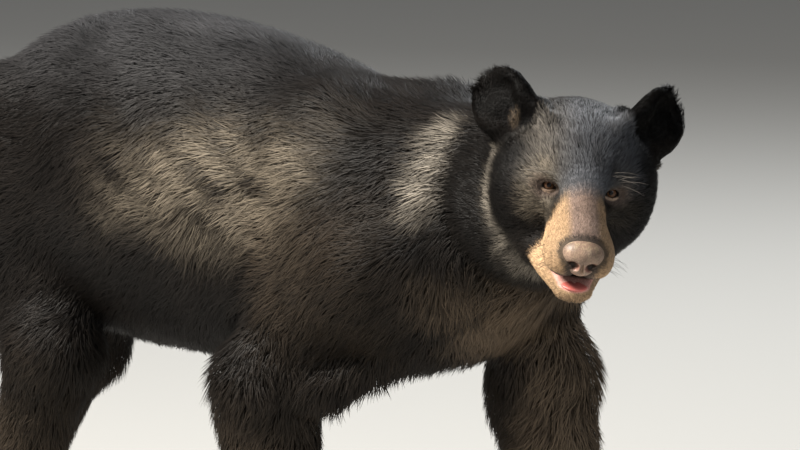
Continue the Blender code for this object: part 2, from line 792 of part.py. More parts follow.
if __name__ == "__main__":
    main()
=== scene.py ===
"""A life-size black bear in a plain studio: skin, coat, eyes, nose, tongue and claws.

The bear's field of distances is the one that its solids are made from. It is modelled
facing +X with its left side at +Y and its soles at z = 0, and moved to the solids' frame
by SHIFT. The skin lies inside that field by the coat's depth. All lengths are metres.
"""

import math

import bmesh
import bpy
import numpy as np
from mathutils import Matrix, Vector


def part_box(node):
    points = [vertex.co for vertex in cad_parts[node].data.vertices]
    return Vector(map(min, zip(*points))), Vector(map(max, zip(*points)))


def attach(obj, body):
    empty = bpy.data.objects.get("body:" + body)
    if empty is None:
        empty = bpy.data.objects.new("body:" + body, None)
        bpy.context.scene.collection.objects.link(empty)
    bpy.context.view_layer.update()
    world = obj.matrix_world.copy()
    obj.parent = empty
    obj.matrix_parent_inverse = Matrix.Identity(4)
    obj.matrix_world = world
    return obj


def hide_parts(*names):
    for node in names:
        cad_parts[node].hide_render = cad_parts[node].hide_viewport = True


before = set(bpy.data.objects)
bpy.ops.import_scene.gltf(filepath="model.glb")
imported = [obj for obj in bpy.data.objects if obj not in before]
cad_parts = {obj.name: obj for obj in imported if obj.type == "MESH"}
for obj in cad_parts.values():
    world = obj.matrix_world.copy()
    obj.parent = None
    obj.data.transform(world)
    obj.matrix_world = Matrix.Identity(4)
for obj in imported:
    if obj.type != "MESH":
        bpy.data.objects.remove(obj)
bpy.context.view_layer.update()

FAR = 1.0  # the distance given for a form that is out of reach

# Trunk: place along the bear, height of the back, height of the belly, half width
TRUNK = (
    (-0.47, 0.770, 0.450, 0.145),
    (-0.34, 0.834, 0.405, 0.188),
    (-0.18, 0.857, 0.372, 0.212),
    (0.00, 0.842, 0.364, 0.220),
    (0.16, 0.806, 0.364, 0.208),
    (0.30, 0.766, 0.388, 0.174),
    (0.42, 0.705, 0.425, 0.135),
)
TRUNK_ENDS = 0.13  # how far the rounded ends reach past the last places

# Legs: name, side (+1 left), shoulder or hip, elbow or knee, wrist or ankle
FORE_LEGS = (
    ("fore_left", 1, (0.405, 0.115, 0.560), (0.436, 0.146, 0.370), (0.478, 0.142, 0.108)),
    ("fore_right", -1, (0.330, -0.115, 0.560), (0.196, -0.156, 0.365), (0.196, -0.142, 0.108)),
)
HIND_LEGS = (
    ("hind_left", 1, (-0.390, 0.095, 0.560), (-0.485, 0.112, 0.350), (-0.640, 0.110, 0.112)),
    ("hind_right", -1, (-0.365, -0.100, 0.560), (-0.268, -0.138, 0.378), (-0.374, -0.125, 0.112)),
)

# Half thicknesses of the legs: across the bear, along the bear
BLADE_TOP, BLADE_POINT = (0.070, 0.095), (0.075, 0.110)
UPPER_ARM, ELBOW = (0.068, 0.090), (0.064, 0.078)
FOREARM, WRIST = (0.074, 0.090), (0.054, 0.060)
ELBOW_KNOB = (0.044, 0.045, 0.050)
# The fold of loose skin from the drawn-back elbow to the breast: how far in front of it,
# in from it and above it each end lies, and the half thicknesses there
ARM_FOLD = ((0.085, 0.020, 0.006), (0.200, 0.120, 0.082), (0.048, 0.050), (0.036, 0.038))
HAUNCH = (0.165, 0.095, 0.195)
THIGH, KNEE, SHANK, ANKLE = (0.085, 0.140), (0.062, 0.080), (0.062, 0.076), (0.045, 0.054)

# Paws: length in front of and behind the wrist or ankle, claw length, claw half height
PAWS = {"fore": (0.105, 0.010, 0.040, 0.0066), "hind": (0.150, 0.035, 0.032, 0.0060)}
PAW_TOES_IN = math.radians(4)
TOES = 5
TOE_SPREAD = 0.037  # from the middle toe to the outer one
TOE_HEIGHT = 0.019
CLAW_ROOT = 0.014  # how far a claw's root reaches back into the toe
CLAW_RISE, CLAW_BEND = 18, 75  # degrees that it points up at its root, and bends down to its tip
CLAW_WIDTH = 0.55  # as a share of its height

# Head: the point between the eyes, and how the head is turned
EYES_MIDDLE = Vector((0.7232, -0.0808, 0.6712))
HEAD_YAW, HEAD_PITCH, HEAD_ROLL = (math.radians(angle) for angle in (-41, 14.3, 8.1))
HEAD_TURN = (Matrix.Rotation(HEAD_YAW, 3, "Z") @ Matrix.Rotation(HEAD_PITCH, 3, "Y")
             @ Matrix.Rotation(-HEAD_ROLL, 3, "X"))

# Forms of the head in its own axes (nose +X, left +Y): centre, half sizes, softness of the join.
# Those with a centre off the middle are on both sides.
HEAD_FORMS = {
    "cranium": ((-0.092, 0, 0.006), (0.108, 0.100, 0.086), 0.04),
    "forehead": ((-0.038, 0, 0.014), (0.066, 0.066, 0.050), 0.04),
    "cheek": ((-0.078, 0.061, -0.030), (0.078, 0.055, 0.078), 0.045),
    "lip_pad": ((0.090, 0.020, -0.060), (0.051, 0.029, 0.031), 0.020),
    "mouth_corner": ((0.026, 0.014, -0.064), (0.050, 0.026, 0.032), 0.018),
}
BRIDGE = ((-0.030, 0, -0.010), (0.112, 0, -0.040), (0.040, 0.040), (0.032, 0.028))
JAW = ((-0.050, 0, -0.096), (0.096, 0, -0.111), (0.072, 0.042), (0.027, 0.016))
EYE_SOCKET = ((0.020, 0.0435, 0.000), (0.022, 0.013, 0.010))
BROW = ((0.000, 0.040, 0.018), (0.014, 0.018, 0.008))
# The parting of the lips, and the height that parts the upper lip from the lower one
MOUTH = ((0.080, 0, -0.0885), (0.150, 0, -0.1010), (0.060, 0.0030), (0.060, 0.0105))
LIPS = -0.0945
EYE = Vector((0.001, 0.0425, 0.0))
EYE_RADIUS = 0.0105
EARS = {1: Vector((-0.092, 0.107, 0.078)), -1: Vector((-0.092, -0.113, 0.078))}  # left, right
EAR_RADIUS = 0.049
NOSE_TIP = Vector((0.147, 0.0, -0.050))
NOSTRIL = ((0.001, 0.0130, -0.0095), (0.012, 0.0088, 0.0070))  # place from the tip, and half sizes
TONGUE = ((0.090, 0, -0.1035), (0.028, 0.022, 0.0056))  # centre and half sizes
LID = 0.0020  # thickness of the eyelids
LIDS_FACE = Vector((1, 0.16, 0.18)).normalized()  # the way the left eye's lids face
LOOK = Vector((1, -0.10, 0.27)).normalized()  # the way both pupils look
# The slot between the lids of the right and the left eye is where two ovals overlap:
# how far each lies above or below the middle, and its half sizes across and up
EYE_SLOTS = ((0.0046, 0.0099, 0.0100), (0.0042, 0.0086, 0.0105))

# The nodes that the skin stands for
FLESH = ["loin", "chest", "neck", "tail", "head", "lower_jaw", "ear_left", "ear_right"]
FLESH += [leg[0] + part for leg in FORE_LEGS + HIND_LEGS for part in ("_upper", "_lower", "_paw")]

# Sizes of the cubes that each surface is made from
BODY_STEP, HEAD_STEP, NOSE_STEP, TONGUE_STEP = 0.009, 0.0024, 0.0011, 0.0012
# The skin's two shells overlap: along the head's X, the body's ends at the first place
# and the head's starts at the second
BODY_END, HEAD_START = -0.110, -0.125
SOLES, TIPS = 0.0005, 0.0008  # the skin and the tufts stay this far above the floor

# Coat on the body, belly, legs, paws, forehead, cheeks, ears, muzzle and round the eyes
TRAITS = {
    "depth": (0.019, 0.020, 0.010, 0.0045, 0.0056, 0.011, 0.0012, 0.0011, 0.0011),
    "length": (0.046, 0.048, 0.028, 0.012, 0.015, 0.025, 0.0050, 0.0060, 0.0036),
    "width": (0.0018, 0.0019, 0.0015, 0.0012, 0.0009, 0.0012, 0.0009, 0.0006, 0.0006),
    "number": (7.8e4, 7.6e4, 8.8e4, 18.0e4, 27.0e4, 18.5e4, 34.0e4, 56.0e4, 50.0e4),
}
CLUMP = 0.018  # width of the locks that tufts lean into
# A tuft has a foot, three points round its waist and a tip
TUFT_ALONG = (0.0, 0.45, 0.45, 0.45, 1.0)
TUFT_FACES = np.array([(0, 1, 2), (0, 2, 3), (0, 3, 1), (4, 2, 1), (4, 3, 2), (4, 1, 3)])
# Where one piece of the coat ends and the next one starts: along the bear, and up a leg
LOIN_END, CHEST_END, LEG_TOP = -0.06, 0.36, 0.42
MOST_TRIANGLES = 190000  # in one piece of the coat
PATCH = 0.003  # side of a tuft's place on the OFBake map
SOFT_SHADING = 0.6  # how far a tuft's shading follows the skin below it
SKIN_SHADE = 0.85  # the skin's brightness under a coat of the same colour

# Long hairs on the left of the head, over the eye and on the lip: corners of the patch they
# grow on, their way, length, shade and number
WHISKERS = (
    ((0.012, 0.034, 0.018), (0.026, 0.056, 0.030), (0.45, 0.75, 0.45),
     (0.026, 0.046), (0.24, 0.215, 0.19), 7),
    ((0.090, 0.036, -0.078), (0.125, 0.048, -0.052), (0.15, 0.85, -0.25),
     (0.012, 0.024), (0.05, 0.04, 0.035), 9),
)
WHISKER_RADIUS = 0.00032
WHISKER_DROOP = 0.22  # as a share of its length

BLACK = np.array((0.0058, 0.0046, 0.0039))
# SLATE_SHEEN: a painted blue-grey sheen, on the top of the rump and on the forehead
SLATE_SHEEN = np.array((0.060, 0.062, 0.068))
BROWN = np.array((0.034, 0.025, 0.017))
# TAN: the tan of the cheeks, and also painted sheen on the flank and painted light on the right of
# the brow
TAN = np.array((0.098, 0.082, 0.062))
# PALE_SHEEN: a painted pale sheen on the neck and a painted highlight along the edge of the head
PALE_SHEEN = np.array((0.145, 0.128, 0.106))
TAUPE = np.array((0.105, 0.078, 0.064))
MUZZLE_TOP = np.array((0.245, 0.175, 0.142))
# MUZZLE_SIDE: the muzzle's own tan, made paler by painted light
MUZZLE_SIDE = np.array((0.400, 0.265, 0.155))
# LEATHER and LEATHER_PALE: the nose leather's own colours, made paler by painted light
LEATHER = np.array((0.235, 0.158, 0.114))
LEATHER_PALE = np.array((0.340, 0.250, 0.165))
NOSTRIL_RIM = np.array((0.300, 0.150, 0.115))
LIP_DARK = np.array((0.046, 0.038, 0.032))
LIP_PINK = np.array((0.800, 0.410, 0.350))
LID_PALE = np.array((0.420, 0.300, 0.220))
# MOUTH_SHADE: painted shade deep between the parted lips
MOUTH_SHADE = np.array((0.090, 0.022, 0.020))
TONGUE_RED = np.array((0.520, 0.130, 0.110))
HORN = (0.022, 0.018, 0.015)
# The eye's colours outwards from the pupil, by the angle from its middle in quarter turns
EYE_RINGS = ((0.0, (0.004, 0.003, 0.003)), (0.17, (0.004, 0.003, 0.003)),
             (0.21, (0.075, 0.036, 0.018)), (0.40, (0.060, 0.030, 0.016)),
             (0.50, (0.008, 0.005, 0.004)), (0.60, (0.030, 0.020, 0.016)),
             (1.0, (0.12, 0.07, 0.05)))
MIDDLE = (0.3, 0.7)  # the range that most of a noise lies in

VIEW_AIM = Vector((0.299021, 0.0006678, 0.58022036))  # the middle of the view, by the chest
VIEW_DISTANCE = 10.0
VIEW_WIDTH = 1.12  # metres across the view at VIEW_AIM
VIEW_TURN, VIEW_DROP = math.radians(45), math.radians(6.5)
VIEW_WAY = Vector((-math.sin(VIEW_TURN) * math.cos(VIEW_DROP),
                   math.cos(VIEW_TURN) * math.cos(VIEW_DROP), -math.sin(VIEW_DROP)))


# ---------------------------------------------------------------- distances

def lengths(vectors):
    """The length of each row."""
    return np.linalg.norm(vectors, axis=1)


def unit(vectors):
    """Each row at a length of 1."""
    return vectors / lengths(vectors)[:, None]


def columns(*parts):
    """Arrays side by side, as columns."""
    return np.stack(parts, axis=1)


def ramp(value, low, high):
    """0 below low, 1 above high, and smooth between."""
    share = np.clip((value - low) / (high - low), 0, 1)
    return share * share * (3 - 2 * share)


def mix(first, second, share):
    """From first to second by share."""
    return first + (second - first) * share


def fade(value, low, high):
    """1 below low, 0 above high, and smooth between."""
    return 1 - ramp(value, low, high)


def stripe(value, middle, width):
    """1 at the middle, and less to both sides."""
    return np.exp(-((value - middle) / width) ** 2)


def blend(first, second, width):
    """Union of two distances, with the crease between them filled over a width."""
    share = np.clip(0.5 + 0.5 * (second - first) / width, 0, 1)
    return second + (first - second) * share - width * share * (1 - share)


def carve(solid, hollow, width):
    """A distance with another one taken away, with a soft rim."""
    return -blend(-solid, hollow, width)


def scaled_distance(scaled, sizes):
    """Distance to an oval surface, from coordinates divided by its half sizes."""
    reach = lengths(scaled)
    slope = lengths(scaled / sizes)
    return reach * (reach - 1) / np.maximum(slope, 1e-9)


def oval(points, centre, sizes, axes=None):
    """Distance to an ellipsoid, close near its surface."""
    local = points - np.asarray(centre)
    if axes is not None:
        local = local @ np.asarray(axes)
    return scaled_distance(local / np.asarray(sizes), np.asarray(sizes))


def bone(points, start, end, start_sizes, end_sizes, side=(0, 1, 0)):
    """Distance to a tapered oval bar; sizes are half thicknesses (along side, the other way)."""
    start, end = np.asarray(start, float), np.asarray(end, float)
    length = np.linalg.norm(end - start)
    along = (end - start) / length
    across = np.asarray(side, float) - np.dot(side, along) * along
    across /= np.linalg.norm(across)
    other = np.cross(along, across)
    local = points - start
    place = local @ along
    share = np.clip(place / length, 0, 1)
    wide = start_sizes[0] + (end_sizes[0] - start_sizes[0]) * share
    deep = start_sizes[1] + (end_sizes[1] - start_sizes[1]) * share
    sizes = columns(wide, deep, np.sqrt(wide * deep))
    around = columns(local @ across, local @ other, place - share * length)
    return scaled_distance(around / sizes, sizes)


def smooth_through(places, values, where):
    """A smooth curve through values at places, read at where."""
    slopes = np.gradient(values, places)
    index = np.clip(np.searchsorted(places, where) - 1, 0, len(places) - 2)
    span = places[index + 1] - places[index]
    t = (where - places[index]) / span
    start = (2 * t**3 - 3 * t**2 + 1) * values[index] + (t**3 - 2 * t**2 + t) * span * slopes[index]
    end = (3 * t**2 - 2 * t**3) * values[index + 1] + (t**3 - t**2) * span * slopes[index + 1]
    return start + end


# ---------------------------------------------------------------- trunk, legs and paws

def trunk_field(points):
    """Rump, barrel and chest as one oval tube whose size changes along the bear."""
    places, backs, bellies, widths = np.array(TRUNK).T
    where = np.clip(points[:, 0], places[0], places[-1])
    back = smooth_through(places, backs, where)
    belly = smooth_through(places, bellies, where)
    wide = smooth_through(places, widths, where)
    middle, tall = (back + belly) / 2, (back - belly) / 2
    sizes = columns(np.full_like(wide, TRUNK_ENDS), wide, tall)
    around = columns(points[:, 0] - where, points[:, 1], points[:, 2] - middle)
    return scaled_distance(around / sizes, sizes)


def tail_field(points):
    """The short tail, hanging close against the rump."""
    return bone(points, (-0.535, 0, 0.715), (-0.612, 0, 0.622), (0.036, 0.028), (0.019, 0.016))


def shoulder_field(points, side, shoulder):
    """The shoulder blade's muscle, from near the withers to the point of the shoulder."""
    top = (shoulder[0] - 0.09, side * 0.085, 0.690)
    point = (shoulder[0] + 0.02, side * 0.135, 0.545)
    return bone(points, top, point, BLADE_TOP, BLADE_POINT)


def fore_leg_field(points, side, shoulder, elbow, wrist):
    """Upper arm, forearm and the knob of the elbow."""
    upper = bone(points, shoulder, elbow, UPPER_ARM, ELBOW)
    lower = bone(points, elbow, wrist, FOREARM, WRIST)
    knob = oval(points, (elbow[0] - 0.043, elbow[1], elbow[2] - 0.040), ELBOW_KNOB)
    limb = blend(blend(upper, lower, 0.035), knob, 0.03)
    near, far = ((elbow[0] + ahead, elbow[1] - side * inward, elbow[2] + above)
                 for ahead, inward, above in ARM_FOLD[:2])
    if elbow[0] > shoulder[0]:
        return limb
    return blend(limb, bone(points, near, far, *ARM_FOLD[2:]), 0.03)


def hind_leg_field(points, side, hip, knee, ankle):
    """Haunch, thigh and shank, down to the heel."""
    haunch = oval(points, (hip[0] - 0.03, side * 0.115, 0.575), HAUNCH)
    thigh = bone(points, hip, knee, THIGH, KNEE)
    shank = bone(points, knee, ankle, SHANK, ANKLE)
    return blend(blend(haunch, thigh, 0.06), shank, 0.05)


def paw_axes(side):
    """Forward and leftward directions of a paw, which points a little inwards."""
    forward = np.array((math.cos(PAW_TOES_IN), -side * math.sin(PAW_TOES_IN), 0.0))
    return forward, np.array((-forward[1], forward[0], 0.0))


def toe_places(wrist, side, length):
    """Centre of each toe's last joint, from right to left."""
    forward, left = paw_axes(side)
    places = []
    for toe in range(TOES):
        across = 2 * toe / (TOES - 1) - 1
        reach = length - 0.022 * abs(across) ** 1.8
        foot = np.array((wrist[0], wrist[1], TOE_HEIGHT))
        places.append(foot + forward * reach + left * across * TOE_SPREAD)
    return places


def paw_field(points, side, wrist, length, heel):
    """A flat broad paw with five toes below a wrist or ankle."""
    forward, left = paw_axes(side)
    ground = np.array((wrist[0], wrist[1], 0.0))
    up = np.array((0.0, 0.0, 1.0))
    back = ground - forward * heel + up * 0.030
    front = ground + forward * (length - 0.040) + up * 0.024
    sole = bone(points, back, front, (0.036, 0.038), (0.046, 0.030), left)
    instep = ground + forward * length * 0.35 + up * 0.035
    rise = bone(points, wrist, instep, (0.050, 0.054), (0.043, 0.036))
    paw = blend(sole, rise, 0.035)
    for place in toe_places(wrist, side, length):
        knuckle = place - forward * 0.035 + up * 0.006
        toe = bone(points, knuckle, place, (0.0125, 0.020), (0.0115, 0.0165), left)
        paw = blend(paw, toe, 0.012)
    return paw


def leg_field(points, leg):
    """One whole leg with its paw."""
    name, side, top, middle, bottom = leg
    length, heel = PAWS[name[:4]][:2]
    limb = fore_leg_field if name.startswith("fore") else hind_leg_field
    return blend(limb(points, side, top, middle, bottom),
                 paw_field(points, side, bottom, length, heel), 0.035)


# ---------------------------------------------------------------- head and neck

def head_to_bear(point):
    """A point given in the head's own axes, in the bear's."""
    return EYES_MIDDLE + HEAD_TURN @ Vector(point)


def head_to_bear_all(own):
    """Points given in the head's own axes, in the bear's."""
    return np.array(EYES_MIDDLE) + own @ np.array(HEAD_TURN).T


def bear_to_head(points):
    """Points of the bear, in the head's own axes."""
    return (points - np.array(EYES_MIDDLE)) @ np.array(HEAD_TURN)


def both_sides(points):
    """Points of the head with those on the right mirrored to the left."""
    return columns(points[:, 0], np.abs(points[:, 1]), points[:, 2])


def skull_field(points):
    """Cranium, forehead, cheeks, muzzle and lower jaw, in the head's own axes."""
    paired = both_sides(points)
    field = bone(points, *BRIDGE)
    for centre, sizes, softness in HEAD_FORMS.values():
        field = blend(field, oval(paired, centre, sizes), softness)
    return blend(field, bone(points, *JAW), 0.022)


def ear_axes(side):
    """The ear's own axes as columns: the way its cup faces, across it, and up its middle."""
    faces = Vector((0.80, side * 0.58, 0.12)).normalized()
    up = Vector((0, side * 0.30, 1.0))
    up = (up - up.dot(faces) * faces).normalized()
    return np.array((faces, up.cross(faces), up)).T


def ear_field(points, side):
    """A round cupped ear on a short root, in the head's own axes."""
    axes = ear_axes(side)
    centre = np.array(EARS[side])
    shell = oval(points, centre, (0.021, EAR_RADIUS * 0.94, EAR_RADIUS), axes)
    hollow = oval(points, centre + axes @ (0.020, 0, 0.002), (0.022, 0.035, 0.038), axes)
    root_top = centre + axes @ (-0.010, 0, -0.020)
    root_foot = centre + (-0.005, -side * 0.043, -0.032)
    root = bone(points, root_top, root_foot, (0.030, 0.024), (0.040, 0.036))
    rim_top = centre + axes @ (0.002, -side * 0.036, 0.012)
    rim_foot = centre + (0.042, -side * 0.062, -0.008)
    rim = bone(points, rim_top, rim_foot, (0.010, 0.012), (0.014, 0.018))
    return blend(blend(carve(shell, hollow, 0.008), root, 0.022), rim, 0.014)


def head_field(points):
    """The head with its eye sockets, parted lips and ears."""
    own = bear_to_head(points)
    paired = both_sides(own)
    field = carve(skull_field(own), oval(paired, *EYE_SOCKET), 0.012)
    field = blend(field, oval(paired, *BROW), 0.012)
    field = carve(field, bone(own, *MOUTH), 0.005)
    for side in (-1, 1):
        field = blend(field, ear_field(own, side), 0.016)
    return field


def neck_field(points):
    """The thick neck and the throat, from the shoulders to the back of the skull."""
    skull = head_to_bear((-0.105, 0, -0.020))
    nape = bone(points, (0.300, 0, 0.588), skull, (0.150, 0.160), (0.097, 0.104))
    jowl = head_to_bear((-0.075, 0, -0.075))
    throat = bone(points, (0.400, 0, 0.514), jowl, (0.130, 0.110), (0.078, 0.066))
    return blend(nape, throat, 0.06)


def within(points, places, reach, field, *details):
    """A field within reach of the box round some places, and FAR elsewhere."""
    low, high = np.min(places, axis=0) - reach, np.max(places, axis=0) + reach
    near = ((points > low) & (points < high)).all(1)
    value = np.full(len(points), FAR)
    if near.any():
        value[near] = field(points[near], *details)
    return value


def body_field(points):
    """The whole bear, without its eyes, nose, tongue and claws."""
    field = trunk_field(points)
    for leg in FORE_LEGS:
        field = blend(field, within(points, leg[2:3], 0.30, shoulder_field, leg[1], leg[2]), 0.07)
    for leg in FORE_LEGS + HIND_LEGS:
        field = blend(field, within(points, leg[2:], 0.28, leg_field, leg), 0.05)
    neck = ((0.300, 0, 0.550), EYES_MIDDLE)
    field = blend(field, within(points, neck, 0.28, neck_field), 0.08)
    field = blend(field, within(points, (EYES_MIDDLE,), 0.28, head_field), 0.015)
    return blend(field, within(points, ((-0.57, 0, 0.67),), 0.15, tail_field), 0.02)


def nose_field(points):
    """The leathery nose with its two comma-shaped nostrils and the groove below."""
    own = bear_to_head(points)
    tip = np.array(NOSE_TIP)
    pad = oval(own, tip + (-0.020, 0, 0.004), (0.024, 0.030, 0.022))
    chin = oval(own, tip + (-0.020, 0, -0.012), (0.0205, 0.018, 0.015))
    paired = both_sides(own)
    nostril = oval(paired, tip + NOSTRIL[0], NOSTRIL[1])
    slit = bone(paired, tip + (0.000, 0.018, -0.009), tip + (-0.014, 0.028, -0.012),
                (0.0032, 0.0034), (0.0026, 0.0028), (0, 0, 1))
    groove = oval(own, tip + (0.004, 0, -0.020), (0.010, 0.0024, 0.016))
    pad = carve(blend(pad, chin, 0.010), blend(nostril, slit, 0.003), 0.003)
    return carve(pad, groove, 0.003)


# ---------------------------------------------------------------- skin

def head_share(own):
    """1 on the head and 0 on the body, from the head's own coordinates."""
    reach = lengths((own - (-0.01, 0, 0)) / (0.205, 0.175, 0.165))
    return fade(reach, 1.0, 1.2) * ramp(own[:, 0], -0.165, -0.095)


def muzzle_share(own):
    """1 on the muzzle's short hair."""
    return ramp(own[:, 0], 0.000, 0.036) * fade(lengths(own[:, 1:]), 0.16, 0.2)


def eye_share(own):
    """1 close round the eyes."""
    gap = lengths(both_sides(own) - np.array(EYE))
    return fade(gap, 0.014, 0.034)


def ear_share(own):
    """1 on the ears."""
    gaps = [lengths(own - np.array(ear)) for ear in EARS.values()]
    return fade(np.minimum(*gaps), EAR_RADIUS * 1.20, EAR_RADIUS * 1.42)


def traits(points, *names):
    """The coat's depth, or the length, width or number per square metre of its tufts."""
    own = bear_to_head(points)
    low = fade(points[:, 2], 0.05, 0.42)
    paw = fade(points[:, 2], 0.050, 0.120)
    belly = fade(points[:, 2], 0.38, 0.47)
    on_head, on_muzzle = head_share(own), muzzle_share(own)
    at_eye, on_ear = eye_share(own), ear_share(own)
    ruff = ramp(-own[:, 0], 0.02, 0.09) * ramp(-own[:, 2], -0.06, 0.0)
    values = []
    for name in names:
        body, below, legs, paws, head, cheek, ears, muzzle, eyes = TRAITS[name]
        value = mix(np.full(len(points), body), below, belly)
        value = mix(mix(value, legs, low), paws, paw)
        face = mix(mix(head, cheek, ruff), ears, on_ear)
        face = mix(mix(face, muzzle, on_muzzle), eyes, at_eye)
        values.append(mix(value, face, on_head))
    return values


def gaze_axes(ahead):
    """The left eye's axes as columns: ahead, across and up, its inner corner a little lower."""
    up = Vector((0, -0.24, 1))
    up = (up - ahead * ahead.dot(up)).normalized()
    return np.array((ahead, up.cross(ahead), up)).T


def skin_field(points):
    """The body inside its coat, with lids round the eyes and room behind the nose."""
    field = body_field(points) + traits(points, "depth")[0]
    own = bear_to_head(points)
    near = lengths(own) < 0.25
    if not near.any():
        return field
    own, part = own[near], field[near]
    paired = both_sides(own)
    axes = gaze_axes(LIDS_FACE)
    eye = np.array(EYE)
    local = (paired - eye) @ axes
    lids = lengths(local) - EYE_RADIUS - LID
    part = blend(part, lids, 0.007)
    right, left = (np.maximum(*(oval(local, (EYE_RADIUS, 0, side * shift), (0.020, across, tall))
                                for side in (-1, 1))) for shift, across, tall in EYE_SLOTS)
    part = carve(part, np.where(own[:, 1] > 0, left, right), 0.0010)
    gap = lengths(local)
    fold = stripe(gap, 0.0180, 0.0014) * ramp(local[:, 2], -0.004, 0.006)
    part = part + 0.0012 * fold
    core = oval(own, np.array(NOSE_TIP) + (-0.020, 0, 0.002), (0.022, 0.027, 0.020))
    field[near] = carve(part, core, 0.002)
    return field


def grid(*axes):
    """All the points of a grid, from its places along each axis."""
    return np.stack(np.meshgrid(*axes, indexing="ij"), -1).reshape(-1, 3)


def surface(field, low, high, step, coarse=4):
    """The field's surface by cubes of a size: points and four-cornered faces.

    Only cubes near the surface are looked at, found with a grid that is coarse times wider.
    """
    big = step * coarse
    counts = [int(math.ceil((end - start) / big)) for start, end in zip(low, high)]
    cells = grid(*(np.arange(count) for count in counts))
    middles = np.array(low) + (cells + 0.5) * big
    cells = cells[np.abs(field(middles)) < big * 1.3]
    fine = grid(*(np.arange(coarse),) * 3)
    cells = (cells[:, None] * coarse + fine[None]).reshape(-1, 3)
    size = np.array(counts) * coarse + 2

    def key(corner):
        return (corner[..., 0] * size[1] + corner[..., 1]) * size[2] + corner[..., 2]

    offsets = grid((0, 1), (0, 1), (0, 1))
    corners = cells[:, None] + offsets[None]
    keys = key(corners)
    _, first, inverse = np.unique(keys.ravel(), return_index=True, return_inverse=True)
    spots = corners.reshape(-1, 3)[first]
    value = field(np.array(low) + spots * step)
    at_corner = value[inverse.reshape(keys.shape)]
    inside = at_corner < 0
    used = inside.any(1) & ~inside.all(1)
    cells, at_corner, inside = cells[used], at_corner[used], inside[used]

    total, count = np.zeros((len(cells), 3)), np.zeros(len(cells))
    for near in range(8):
        for axis in range(3):
            if offsets[near][axis]:
                continue
            far = near + (4, 2, 1)[axis]
            crossed = inside[:, near] != inside[:, far]
            gap = np.where(crossed, at_corner[:, near] - at_corner[:, far], 1)
            place = np.tile(offsets[near].astype(float), (len(cells), 1))
            place[:, axis] += at_corner[:, near] / gap
            total += place * crossed[:, None]
            count += crossed
    points = np.array(low) + (cells + total / count[:, None]) * step

    order = np.argsort(key(cells))
    sorted_keys = key(cells)[order]
    faces = []
    for axis in range(3):
        far = (4, 2, 1)[axis]
        crossed = inside[:, 0] != inside[:, far]
        base, leaving = cells[crossed], inside[crossed, 0]
        one, two = (np.eye(3, dtype=int)[(axis + turn) % 3] for turn in (1, 2))
        ring = np.stack([key(base - one - two), key(base - two), key(base), key(base - one)], 1)
        spot = np.minimum(np.searchsorted(sorted_keys, ring), len(cells) - 1)
        whole = (sorted_keys[spot] == ring).all(1)
        ring = order[spot]
        ring[~leaving] = ring[~leaving][:, ::-1]
        faces.append(ring[whole])
    return points, np.concatenate(faces)


def slope_of(field, points, reach=0.0006):
    """The field's value at points, and its unit slope."""
    value = field(points)
    slope = np.stack([(field(points + step) - value) / reach for step in np.eye(3) * reach], 1)
    length = lengths(slope)[:, None]
    return value, slope / np.maximum(length, 1e-9), length[:, 0]


def settle(field, points, turns=2, most=0.002):
    """Move points onto the field's surface."""
    for _ in range(turns):
        value, slope, length = slope_of(field, points)
        move = np.clip(value / np.maximum(length, 0.3), -most, most)
        points = points - slope * move[:, None]
    return points


def add_mesh(name, points, faces, slot, replaced=(), material=None):
    """A piece from points of the bear and faces, in the solids' frame."""
    data = bpy.data.meshes.new(name)
    data.vertices.add(len(points))
    data.vertices.foreach_set("co", (points + SHIFT).astype(np.float32).ravel())
    sides = faces.shape[1]
    data.loops.add(faces.size)
    data.loops.foreach_set("vertex_index", faces.astype(np.int32).ravel())
    data.polygons.add(len(faces))
    data.polygons.foreach_set("loop_start", np.arange(len(faces), dtype=np.int32) * sides)
    data.update(calc_edges=True)
    data.polygons.foreach_set("use_smooth", np.ones(len(faces), bool))
    data.materials.append(MATERIALS[material or slot])
    piece = bpy.data.objects.new(name, data)
    bpy.context.scene.collection.objects.link(piece)
    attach(piece, "root")
    if replaced:
        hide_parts(*replaced)
    return piece


def paint(piece, name, values):
    """Give a piece's points a named number or colour."""
    kind, field = "FLOAT", "value"
    if values.ndim == 2:
        kind, field = "FLOAT_COLOR", "color"
        values = np.concatenate((values, np.ones((len(values), 1))), axis=1)
    layer = piece.data.attributes.new(name, kind, "POINT")
    layer.data.foreach_set(field, values.astype(np.float32).ravel())


# ---------------------------------------------------------------- markings and painted light

def ripple(points, length, seed, waves=6):
    """Smooth noise of about a wavelength, mostly from -1 to 1."""
    draw = np.random.default_rng(seed)
    ways = unit(draw.normal(size=(waves, 3)))
    ways *= 2 * math.pi / length * draw.uniform(0.7, 1.4, (waves, 1))
    return np.sin(points @ ways.T + draw.uniform(0, 2 * math.pi, waves)).sum(1) / math.sqrt(waves)


def tint(colours, other, share):
    """Colours mixed with another one, by a share from 0 to 1 at each place."""
    return mix(colours, other, np.clip(share, 0, 1)[:, None])


